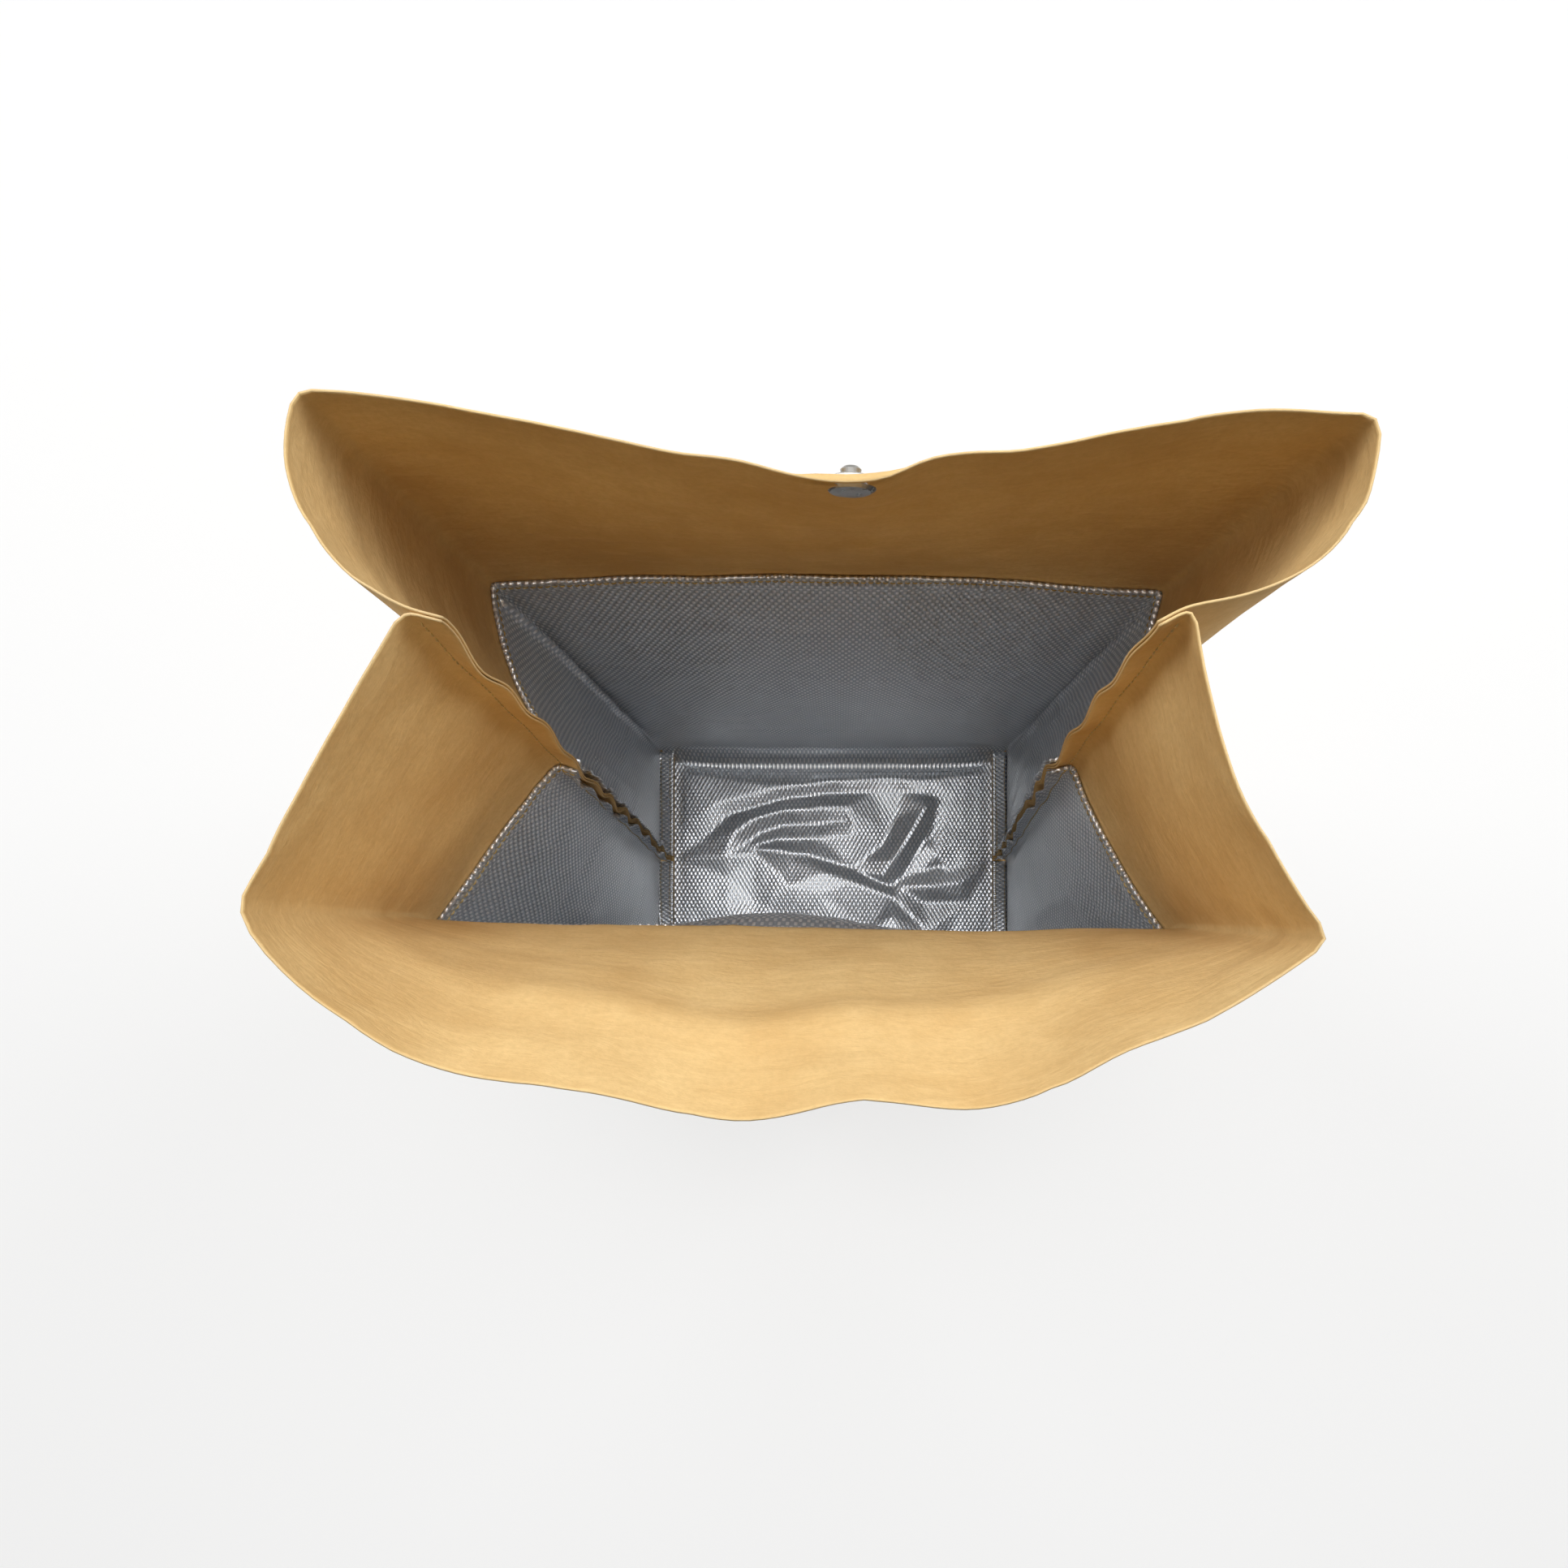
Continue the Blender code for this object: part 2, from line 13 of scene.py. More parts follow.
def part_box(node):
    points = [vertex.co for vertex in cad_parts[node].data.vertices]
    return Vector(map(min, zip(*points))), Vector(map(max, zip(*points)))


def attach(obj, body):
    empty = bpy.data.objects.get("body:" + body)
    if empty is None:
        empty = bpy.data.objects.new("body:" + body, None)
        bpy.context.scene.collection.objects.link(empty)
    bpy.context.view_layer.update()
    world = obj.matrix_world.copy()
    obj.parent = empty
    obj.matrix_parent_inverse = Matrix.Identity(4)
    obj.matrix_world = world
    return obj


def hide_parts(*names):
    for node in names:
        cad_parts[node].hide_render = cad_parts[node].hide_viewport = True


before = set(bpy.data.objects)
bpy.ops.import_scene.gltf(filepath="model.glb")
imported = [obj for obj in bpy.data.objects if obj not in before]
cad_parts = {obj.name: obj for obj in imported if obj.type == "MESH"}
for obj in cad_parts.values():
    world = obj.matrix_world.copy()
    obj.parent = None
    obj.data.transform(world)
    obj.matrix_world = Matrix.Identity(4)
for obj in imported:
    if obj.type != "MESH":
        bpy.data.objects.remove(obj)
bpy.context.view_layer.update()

bl_info = {
    "name": "Paper Cooler Bag",
    "version": (1, 0, 0),
    "blender": (4, 5, 0),
    "location": "View3D > Sidebar > Paper Bag",
    "description": "Dresses a kraft paper cooler bag with its paper, foil lining, stitching and press stud",
    "category": "Object",
}

PAPER_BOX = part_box("paper_shell")
LINING_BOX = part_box("foil_lining")

# The bag's folded shape, as the solids have it
LEANS = {
    "front_left": ((-0.0180, 0.0295), (-0.0180, 0.0328), (-0.0087, 0.0350)),
    "front_right": ((0.0005, 0.0265), (0.0002, 0.0298), (-0.0079, 0.0292)),
    "back_left": ((0.0000, 0.0020), (0.0002, 0.0019), (0.0030, 0.0007)),
    "back_right": ((-0.0010, 0.0000), (-0.0007, -0.0003), (0.0030, -0.0042)),
    "seam_left": ((0.0220, 0.0140), (0.0222, 0.0149), (0.0249, 0.0260)),
    "seam_right": ((-0.0310, 0.0140), (-0.0313, 0.0150), (-0.0348, 0.0268)),
}
FRONT_RIM = ((0, 0), (0.02, 0.007), (0.07, 0.018), (0.17, 0.031), (0.32, 0.036), (0.45, 0.0410),
             (0.56, 0.0365), (0.68, 0.038), (0.76, 0.033), (0.81, 0.026), (0.91, 0.0145), (1, 0))
BACK_RIM = ((0, 0), (0.08, 0.001), (0.19, 0.0045), (0.34, 0.0108), (0.40, 0.0117),
            (0.46, 0.0142), (0.54, 0.0142), (0.59, 0.0105), (0.67, 0.0082), (0.76, 0.0043),
            (0.88, 0.0002), (1, 0))
FRONT_KNEE = (0.70, 0.615)
FRONT_KNEE_ENDS = (0.57, 0.44)
BACK_SHOULDER = 0.004
GUSSET_SWELL = {"front_left": 0.0010, "front_right": -0.0050, "back_left": 0.0105,
                "back_right": 0.0120}
WALL_WAVE = 0.0012
FIN_WAVE = 0.0010
FIN_TURN = math.radians(20)

# Creases of the lining's loose base: each is a line of (right, back, up) points in millimetres
BASE_CREASES = (
    ((-66, -11, 3.5), (-67.6, 1.4, 7), (-62.5, 15.7, 8.5), (-50, 25, 9), (-31, 30.5, 9),
     (-9.4, 32, 8.5), (9, 32, 7)),
    ((-54, 10, 4), (-46, 16, 3.5), (-31, 21, 3.5), (-9, 22, 3.8), (9, 24, 4.2)),
    ((-49, 8, 6.5), (-34.4, 11.6, 8), (-9.4, 12.6, 7.5), (12, 15, 6.5)),
    ((9, 32, 7), (12, 15, 6.5), (30, 20, 2.5), (9, 32, 7)),
    ((-47, 5.5, 3.5), (-36, 5.5, 2), (-19, 3, 1.5), (12, -6, 1.5), (37, -17.5, 1.5)),
    ((-49, 3, 6), (-34.4, -9.3, 7.5), (-28.3, -17.5, 7.5), (-9.4, -22, 6.5),
     (1.4, -39.5, 4.5), (4, -55, 2)),
    ((-27, -1, 3.5), (-4.8, -8.5, 7), (12, -14.4, 8), (36, -23.6, 6.5)),
    ((56, 41, 3), (57.5, 31.5, 8), (48.4, 15.7, 10), (37, -1.7, 9.5), (30, -12, 6)),
    ((43, 42, 1.2), (39, 26, 1), (31, 9, 1), (19, -1, 1.5)),
    ((67, 38, 1.5), (61, 15, 1.5), (50, 0, 1.5), (41, -13, 1.5)),
    ((40, -21, 4), (44, -31, 6.5), (59, -46, 6), (66, -58, 3)),
    ((37, -36, 1), (49, -57, 1)),
    ((42, -18, 4), (59, -17.5, 7), (80, -15, 5.5)),
    ((55, -8, 1.5), (68, -4, 1.5)),
    ((56, -27, 1.5), (84, -27, 1.2)),
    ((58, 9, 4.5), (65, 2, 5), (73, -8, 3)),
    ((-97, 20, 1), (-74, 34.6, 5), (-34, 45, 6.5), (0, 49, 6), (31, 51, 3.5), (44, 50, 4)),
    ((-82, 12, 1), (-66, 27, 2), (-31, 37, 2.2), (0, 41, 2.2), (24, 42, 1.5)),
    ((-84, -34, 1), (-66, -30, 3.5), (-50, -26, 2), (-40, -31, 4.5)),
    ((-70, -46, 2.5), (-48, -42, 4.5), (-30, -47, 2), (-16, -38, 3)),
    ((60, 50, 4), (76, 40, 2), (88, 44, 1)),
    ((70, 22, 2.5), (84, 16, 1.2)),
    ((12, -36, 3), (24, -44, 1.2)),
)

SHEET_STEP = 0.0030
FOIL_STEP = 0.0015
FOIL_ROW = 0.0039
GUSSET_STEP = 0.0023
COVE = {"front": 0.008, "back": 0.014}
SNAP_RIGHT = 0.0055
HOOD_HEIGHT = 0.0036
HOOD_REACH = 0.0105
HOOD_BULGE = 0.0016
HOOD_TUCK = 0.0005


class BAG_PG_sizes(bpy.types.PropertyGroup):
    """Sizes of the folded and sewn sheets"""
    width: FloatProperty(name="Width", description="Width of the base", default=0.220, unit="LENGTH")
    depth: FloatProperty(name="Depth", description="Depth of the base", default=0.140, unit="LENGTH")
    rim_height: FloatProperty(
        name="Rim height", description="Height of the paper along its folds",
        default=0.383, unit="LENGTH")
    lined_height: FloatProperty(
        name="Lined height", description="Height of the lining's top edge",
        default=0.277, unit="LENGTH")
    crease_rise: FloatProperty(
        name="Crease rise", description="How far above the lining the front panel opens out",
        default=0.008, unit="LENGTH")
    side_allowance: FloatProperty(
        name="Side allowance", description="Paper that stands into the bag past each side seam",
        default=0.008, unit="LENGTH")
    base_allowance: FloatProperty(
        name="Base allowance", description="Seam allowance that lies on the base",
        default=0.010, unit="LENGTH")
    hem_depth: FloatProperty(
        name="Hem depth", description="How far the lining is folded under at its top",
        default=0.008, unit="LENGTH")
    paper_thickness: FloatProperty(
        name="Paper thickness", description="Thickness of the kraft paper",
        default=0.0005, unit="LENGTH")
    lining_thickness: FloatProperty(
        name="Lining thickness", description="Thickness of the foil film",
        default=0.0002, unit="LENGTH")
    layer_gap: FloatProperty(
        name="Layer gap", description="Air between two layers that touch",
        default=0.0003, unit="LENGTH")


class BAG_PG_paper(bpy.types.PropertyGroup):
    """Look of the kraft paper"""
    light: FloatVectorProperty(
        name="Light fibres", description="Colour of the paper's light fibres", subtype="COLOR",
        size=3, min=0, max=1, default=(0.76, 0.545, 0.255))
    dark: FloatVectorProperty(
        name="Dark fibres", description="Colour of the paper's dark fibres", subtype="COLOR",
        size=3, min=0, max=1, default=(0.60, 0.385, 0.155))
    edge: FloatVectorProperty(
        name="Cut edge", description="Colour of the paper's cut edge", subtype="COLOR",
        size=3, min=0, max=1, default=(0.62, 0.45, 0.24))
    wrinkle: FloatProperty(
        name="Wrinkle height", description="Height of the soft wrinkles from washing",
        default=0.0016, unit="LENGTH")


class BAG_PG_foil(bpy.types.PropertyGroup):
    """Look of the foil lining"""
    colour: FloatVectorProperty(
        name="Foil", description="Colour of the metal film", subtype="COLOR",
        size=3, min=0, max=1, default=(0.80, 0.85, 0.92))
    dot_across: FloatProperty(
        name="Dot pitch across", description="Distance between two dots in a row",
        default=0.0026, unit="LENGTH")
    dot_up: FloatProperty(
        name="Dot pitch up", description="Distance between a row of dots and the next like it",
        default=0.0045, unit="LENGTH")
    dot_height: FloatProperty(
        name="Dot height", description="Height of the embossed dots",
        default=0.00018, unit="LENGTH")
    slack: FloatProperty(
        name="Wall slack", description="How far the lining hangs off the paper",
        default=0.003, unit="LENGTH")
    fold_share: FloatProperty(
        name="Base folds", description="How high the loose folds stand on the base",
        default=0.76, min=0, max=1.5)


class BAG_PG_stitches(bpy.types.PropertyGroup):
    """Size and colour of the stitching"""
    pitch: FloatProperty(
        name="Stitch pitch", description="Distance from one stitch to the next",
        default=0.0024, unit="LENGTH")
    thickness: FloatProperty(
        name="Thread thickness", description="Diameter of the thread",
        default=0.00042, unit="LENGTH")
    colour: FloatVectorProperty(
        name="Thread", description="Colour of the thread", subtype="COLOR",
        size=3, min=0, max=1, default=(0.62, 0.44, 0.14))


class BAG_PG_snap(bpy.types.PropertyGroup):
    """Colour of the press stud"""
    colour: FloatVectorProperty(
        name="Metal", description="Colour of the press stud's metal", subtype="COLOR",
        size=3, min=0, max=1, default=(0.36, 0.35, 0.33))


class BAG_PG_stage(bpy.types.PropertyGroup):
    """Floor, lamps and camera"""
    floor: FloatVectorProperty(
        name="Floor", description="Colour of the floor", subtype="COLOR",
        size=3, min=0, max=1, default=(0.84, 0.84, 0.83))
    backdrop: FloatProperty(
        name="Backdrop", description="How far the floor shows as white paper", default=0.6,
        min=0, max=1)
    top_power: FloatProperty(
        name="Top lamp", description="Power of the lamp above the bag", default=6.0)
    back_power: FloatProperty(
        name="Back lamp", description="Power of the soft lamp behind the bag", default=10.0)
    side_power: FloatProperty(
        name="Side lamps", description="Power of the soft lamp on each side", default=16.0)
    sky: FloatProperty(name="Sky", description="Strength of the even light", default=0.06)
    lens: FloatProperty(name="Lens", description="Focal length of the camera, in mm", default=20.47)


class Noise:
    """Smooth random heights on a lattice, from 0 to 1, the same on every run."""

    def __init__(self, seed):
        self.table = np.random.default_rng(seed).random((64, 64))

    def at(self, x, y):
        column, row = np.floor(x).astype(int), np.floor(y).astype(int)
        right, up = x - column, y - row
        right, up = right * right * (3 - 2 * right), up * up * (3 - 2 * up)

        def corner(i, j):
            return self.table[(column + i) % 64, (row + j) % 64]

        low = corner(0, 0) * (1 - right) + corner(1, 0) * right
        high = corner(0, 1) * (1 - right) + corner(1, 1) * right
        return low * (1 - up) + high * up


def smooth_table(points, count=600):
    """A smooth curve through (x, height) points, sampled as two rows for np.interp."""
    xs = np.array([p[0] for p in points], float)
    ys = np.array([p[1] for p in points], float)
    slopes = np.gradient(ys, xs)
    slopes[1:-1] = (ys[2:] - ys[:-2]) / (xs[2:] - xs[:-2])
    x = np.linspace(xs[0], xs[-1], count)
    i = np.clip(np.searchsorted(xs, x, side="right") - 1, 0, len(xs) - 2)
    span = xs[i + 1] - xs[i]
    t = (x - xs[i]) / span
    height = ((1 + 2 * t) * (1 - t) ** 2 * ys[i] + t * t * (3 - 2 * t) * ys[i + 1]
              + span * (t * (1 - t) ** 2 * slopes[i] - t * t * (1 - t) * slopes[i + 1]))
    return x, height


def step_up(x, low, high):
    """0 below low, 1 above high, and smooth in between."""
    t = np.clip((x - low) / (high - low), 0, 1)
    return t * t * (3 - 2 * t)


class Bag:
    """The bag's folded sheet: where a point of it lies, given how far across and how far up."""

    def __init__(self, sizes, paper, foil):
        self.width = sizes.width
        self.depth = sizes.depth
        self.rim = sizes.rim_height
        self.lined = sizes.lined_height
        self.crease = sizes.lined_height + sizes.crease_rise
        self.side_allowance = sizes.side_allowance
        self.base_allowance = sizes.base_allowance
        self.hem = sizes.hem_depth
        self.paper = sizes.paper_thickness
        self.film = sizes.lining_thickness
        self.gap = sizes.layer_gap
        self.wrinkle = paper.wrinkle
        self.slack = foil.slack
        self.fold_share = foil.fold_share
        self.half = self.width / 2
        self.gusset = self.depth / 2
        self.across = self.half + self.gusset + self.side_allowance
        self.half_seam = self.gap / 2 + self.paper / 2
        self.base_level = self.paper / 2
        self.lining_step = self.paper / 2 + self.gap + 0.00015
        self.hem_step = 0.0006
        self.turn_level = self.base_level + 2 * self.lining_step + self.hem_step
        self.flange_level = self.turn_level + self.paper + self.gap
        self.front_rim = smooth_table(FRONT_RIM)
        self.back_rim = smooth_table(BACK_RIM)
        self.broad, self.soft, self.lines, self.fine, self.edge, self.film_noise = (
            Noise(seed) for seed in (3, 11, 19, 27, 35, 43))

    def upright(self, name, s):
        """The line of one upright fold: points at the heights s along the sheet."""
        depth_name, side_name = name.split("_")
        side = {"left": -1, "right": 1}[side_name]
        place = {"front": -1, "back": 1, "seam": 0}[depth_name]
        heights = (0, self.lined, self.crease, self.rim)
        x = side * self.half + np.interp(s, heights, (0, *(lean[0] for lean in LEANS[name])))
        y = place * self.gusset + np.interp(s, heights, (0, *(lean[1] for lean in LEANS[name])))
        return np.stack([x, y, self.base_level + s], -1)

    def panel(self, side, a, s):
        u = np.clip(a / self.width + 0.5, 0, 1)
        left, right = self.upright(side + "_left", s), self.upright(side + "_right", s)
        point = left + (right - left) * u[..., None]
        start = self.crease if side == "front" else self.lined
        top = np.clip((s - start) / (self.rim - start), 0, 1)
        wall = np.clip(s / self.lined, 0, 1)
        wave = WALL_WAVE * np.sin(np.pi * u) * np.sin(np.pi * wall)
        if side == "front":
            knee = np.interp(u, (0, 0.45, 1), (FRONT_KNEE_ENDS[0], FRONT_KNEE[0], FRONT_KNEE_ENDS[0]))
            share = np.interp(u, (0, 0.45, 1), (FRONT_KNEE_ENDS[1], FRONT_KNEE[1], FRONT_KNEE_ENDS[1]))
            upper = share + (1 - share) * (top - knee) / np.maximum(1 - knee, 1e-6)
            reach = np.where(top > knee, upper, share * top / knee)
            out = np.interp(u, *self.front_rim) * reach
            out -= 0.0018 * np.sin(np.pi * u) * np.exp(-((top - knee) / 0.060) ** 2)
            point[..., 1] -= out + wave * np.sin(9 * u + 5 * wall)
        else:
            out = np.interp(u, *self.back_rim) * top
            shoulder = BACK_SHOULDER * np.sin(np.pi * u)
            point[..., 1] += shoulder * (wall ** 4 * (1 - top) - 0.6 * np.sin(np.pi * wall))
            point[..., 1] -= out + wave * np.sin(8 * u + 4 * wall)
        rise = top * (self.rim - start)
        point[..., 2] -= rise - np.sqrt(np.maximum(rise * rise - out * out, 0))
        return point

    def seam(self, side, end, s, out):
        """Points of a side seam's allowance, out metres from the seam."""
        turn = FIN_TURN * s / self.rim
        direction = np.stack([-end * np.cos(turn), -np.sin(turn), np.zeros_like(s)], -1)
        across = np.stack([-end * np.sin(turn), np.cos(turn), np.zeros_like(s)], -1)
        layer = {"front": -1, "back": 1}[side]
        wave = FIN_WAVE * (np.sin(190 * s + end) + 0.6 * np.sin(83 * s))
        lined = 1 - 0.6 * step_up(s, self.lined - 0.01, self.lined + 0.02)
        wave += 0.0038 * lined * (self.edge.at(s / 0.017 + 9 * end, s * 0 + 3) - 0.5)
        wave += 0.0010 * lined * (self.edge.at(s / 0.010 + 5 * end, s * 0 + 7) - 0.5)
        wave *= np.clip(out / self.side_allowance, 0, 1.2) ** 1.5
        left = self.upright("seam_left", s)
        right = self.upright("seam_right", s)
        root = np.where((end < 0)[..., None], left, right)
        shift = (layer * self.half_seam + wave)[..., None]
        return root + direction * out[..., None] + across * shift

    def gusset_half(self, side, end, a, s):
        t = np.clip(1 - (np.abs(a) - self.half) / self.gusset, 0, 1)
        root = self.seam(side, end, s, np.zeros_like(s))
        left, right = self.upright(side + "_left", s), self.upright(side + "_right", s)
        corner = np.where((end < 0)[..., None], left, right)
        chord = corner - root
        outward = np.stack([-chord[..., 1], chord[..., 0], np.zeros_like(s)], -1)
        outward /= np.linalg.norm(outward, axis=-1, keepdims=True)
        outward *= np.sign(outward[..., :1] * end[..., None])
        swell = np.where(end < 0, GUSSET_SWELL[side + "_left"], GUSSET_SWELL[side + "_right"])
        swell = swell * np.clip(s / self.rim, 0, 1) ** 3 * np.sin(np.pi * t ** 1.1) ** 0.8
        return root + chord * t[..., None] + outward * swell[..., None]

    def sharp(self, side, a, s):
        """The sheet's middle surface with sharp folds."""
        end = np.where(a < 0, -1.0, 1.0)
        far = np.abs(a)
        fin = self.seam(side, end, s, np.maximum(far - self.half - self.gusset, 0))
        gusset = self.gusset_half(side, end, a, s)
        point = np.where((far <= self.half + self.gusset)[..., None], gusset, fin)
        return np.where((far <= self.half)[..., None], self.panel(side, a, s), point)

    def rounded(self, side, a, s):
        """The middle surface with its folds rounded, as an average of near points."""
        turn = 0.0016
        up = np.minimum(0.004, np.minimum(s, np.maximum(self.rim - s, 0)))
        total = 0
        for i in (-1.5, -0.5, 0.5, 1.5):
            for j in (-1, 0, 1):
                total = total + self.sharp(side, a + i * turn, s + j * up)
        return total / 12

    def ripple(self, side, a, s):
        """Soft wrinkles of washed paper: how far the sheet stands in from its smooth shape."""
        x = a + {"front": 0.0, "back": 1.7}[side]
        open_top = step_up(s, self.lined - 0.02, self.lined + 0.03)
        high = self.broad.at(x / 0.060, s / 0.085) - 0.5
        high += 0.45 * (1 + 0.5 * open_top) * (self.soft.at(x / 0.021, s / 0.030) - 0.5)
        line = 1 - np.abs(2 * self.lines.at(x / 0.055 + 3, s / 0.042) - 1)
        high -= 0.35 * line ** 9
        line = 1 - np.abs(2 * self.lines.at(s / 0.024 + 31, x / 0.035) - 1)
        high += 0.22 * line ** 7
        high += 0.10 * (self.fine.at(x / 0.0065, s / 0.0075) - 0.5)
        seam = step_up(self.half + self.gusset - np.abs(a), 0.002, 0.014)
        return self.wrinkle * high * seam * step_up(s, 0.0, 0.025)

    def surface(self, side, a, s):
        """Points of the smooth sheet and the unit steps that lead into the bag."""
        small = 0.0006
        point = self.rounded(side, a, s)
        right = self.rounded(side, a + small, s) - self.rounded(side, a - small, s)
        down = np.maximum(s - small, 0)
        up = self.rounded(side, a, s + small) - self.rounded(side, a, down)
        inward = np.cross(right, up)
        inward /= np.linalg.norm(inward, axis=-1, keepdims=True)
        if side == "front":
            inward = -inward
        else:
            below = np.clip((self.rim - s) / HOOD_HEIGHT, 0, 1)
            near_snap = np.exp(-((point[..., 0] - SNAP_RIGHT) / HOOD_REACH) ** 4)
            bulge = HOOD_BULGE * np.sin(np.pi * below) - HOOD_TUCK * (1 - below) ** 2
            point[..., 1] += bulge * near_snap
        return point, inward

    def layer(self, side, a, s, offset):
        """Points of a layer that lies offset metres in from the paper's middle."""
        point, inward = self.surface(side, a, s)
        moved = point + inward * (self.ripple(side, a, s) + offset)[..., None]
        corner = step_up(np.abs(a), self.half, self.half + 0.005)
        low = self.base_level + (self.flange_level - self.base_level) * corner
        moved[..., 2] = np.maximum(moved[..., 2], low + np.minimum(offset, self.lining_step))
        return moved, inward


def even_run(low, high, size):
    return np.linspace(low, high, max(2, int(round((high - low) / size)) + 1))


def columns_across(bag, panel_step, corner_step, gusset_step, fin_step):
    """Distances across half a sheet from its left raw edge to its right one."""
    near = bag.half + 0.010
    right = np.concatenate([
        even_run(bag.half, near, corner_step)[1:],
        even_run(near, bag.half + bag.gusset, gusset_step)[1:],
        even_run(bag.half + bag.gusset, bag.across, fin_step)[1:]])
    middle = even_run(-bag.half, bag.half, panel_step)
    return np.concatenate([-right[::-1], middle, right])


class SheetMesh:
    """Gathers grids of points that share their edges into one mesh."""

    def __init__(self):
        self.points = []
        self.maps = []
        self.faces = []

    def grid(self, points, across, up):
        first = sum(len(p) for p in self.points)
        self.points.append(points.reshape(-1, 3))
        across, up = np.broadcast_arrays(across, up)
        self.maps.append(np.stack([across, up], -1).reshape(-1, 2))
        return np.arange(first, first + points[..., 0].size).reshape(points.shape[:2])

    def quads(self, index, flip, keep=None):
        cells = np.stack([index[:-1, :-1], index[1:, :-1], index[1:, 1:], index[:-1, 1:]], -1)
        if flip:
            cells = cells[..., ::-1]
        if keep is not None:
            cells = cells[keep]
        self.faces.append(cells.reshape(-1, 4))

    def make(self, name):
        points = np.concatenate(self.points)
        faces = np.concatenate(self.faces)
        maps = np.concatenate(self.maps)
        used = np.zeros(len(points), bool)
        used[faces] = True
        renumber = np.cumsum(used) - 1
        faces = renumber[faces]
        points, maps = points[used], maps[used]
        mesh = bpy.data.meshes.new(name)
        mesh.from_pydata(points.tolist(), [], faces.tolist())
        layer = mesh.uv_layers.new(name="sheet")
        layer.data.foreach_set("uv", maps[faces.ravel()].astype(np.float32).ravel())
        mesh.shade_smooth()
        return mesh


def add_piece(name, mesh, materials, replaced):
    piece = bpy.data.objects.new(name, mesh)
    bpy.context.scene.collection.objects.link(piece)
    for finish in materials:
        mesh.materials.append(finish)
    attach(piece, "root")
    if replaced:
        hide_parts(*replaced)
    return piece


def thicken(piece, thickness, edge_material=0):
    solidify = piece.modifiers.new("thickness", "SOLIDIFY")
    solidify.thickness = thickness
    solidify.offset = 0
    solidify.use_even_offset = False
    solidify.material_offset_rim = edge_material


def creased_base(bag):
    """The lining's loose base as flat facets between its creases, to be looked up from above."""
    points, edges = [], []
    reach_x = 1000 * (bag.half - bag.base_allowance)
    front, back = 1000 * (COVE["front"] - bag.gusset), 1000 * (bag.gusset - COVE["back"])
    border = [(-reach_x, front, 0.3), (0, front, 0.6), (reach_x, front, 0.3), (reach_x, 0, 0.3),
              (reach_x, back, 0.3), (0, back, 0.3), (-reach_x, back, 0.3), (-reach_x, 0, 0.3)]
    for line in (*BASE_CREASES, (*border, border[0])):
        first = len(points)
        points += line
        edges += [(first + i, first + i + 1) for i in range(len(line) - 1)]
    flat = [Vector(point[:2]) for point in points]
    made = delaunay_2d_cdt(flat, edges, [], 0, 0.01)
    places = []
    for place, sources in zip(made[0], made[3]):
        height = max((points[k][2] for k in sources), default=2.0)
        places.append((place.x / 1000, place.y / 1000, height / 1000))
    return BVHTree.FromPolygons(places, made[2])


def fold_heights(bag, x, y):
    """Height of the lining's loose folds above the base, for a grid of places."""
    facets = creased_base(bag)
    total = np.zeros_like(x)
    down = Vector((0, 0, -1))
    for i, j in np.ndindex(x.shape):
        hit = facets.ray_cast(Vector((x[i, j], y[i, j], 1)), down)[0]
        total[i, j] = hit.z if hit else 0.0
    for axis in (0, 1):
        total = 0.5 * total + 0.25 * (np.roll(total, 1, axis) + np.roll(total, -1, axis))
    edge = np.minimum(bag.half - bag.base_allowance - np.abs(x), bag.gusset - np.abs(y))
    total = total * step_up(edge, 0.0005, 0.008)
    crumple = 0.0010 * bag.broad.at(x / 0.022 + 5, y / 0.025 + 5)
    crumple += 0.0004 * bag.soft.at(x / 0.009, y / 0.010)
    return bag.fold_share * (total + crumple * step_up(edge, 0.0, 0.020))


def middle_share(bag, x):
    """1 over most of a panel's width, and 0 at its two corners."""
    return 1 - np.clip(np.abs(x) / bag.half, 0, 1) ** 8


def strip_lift(bag, end, y):
    """How far a base strip's free edge springs up off the base."""
    wave = bag.edge.at(y / 0.018 + 3, y * 0 + 1.5 + end)
    return 0.0004 * wave + 0.0018 * (0.5 + 0.8 * wave) * step_up(y, -0.048, -0.022)


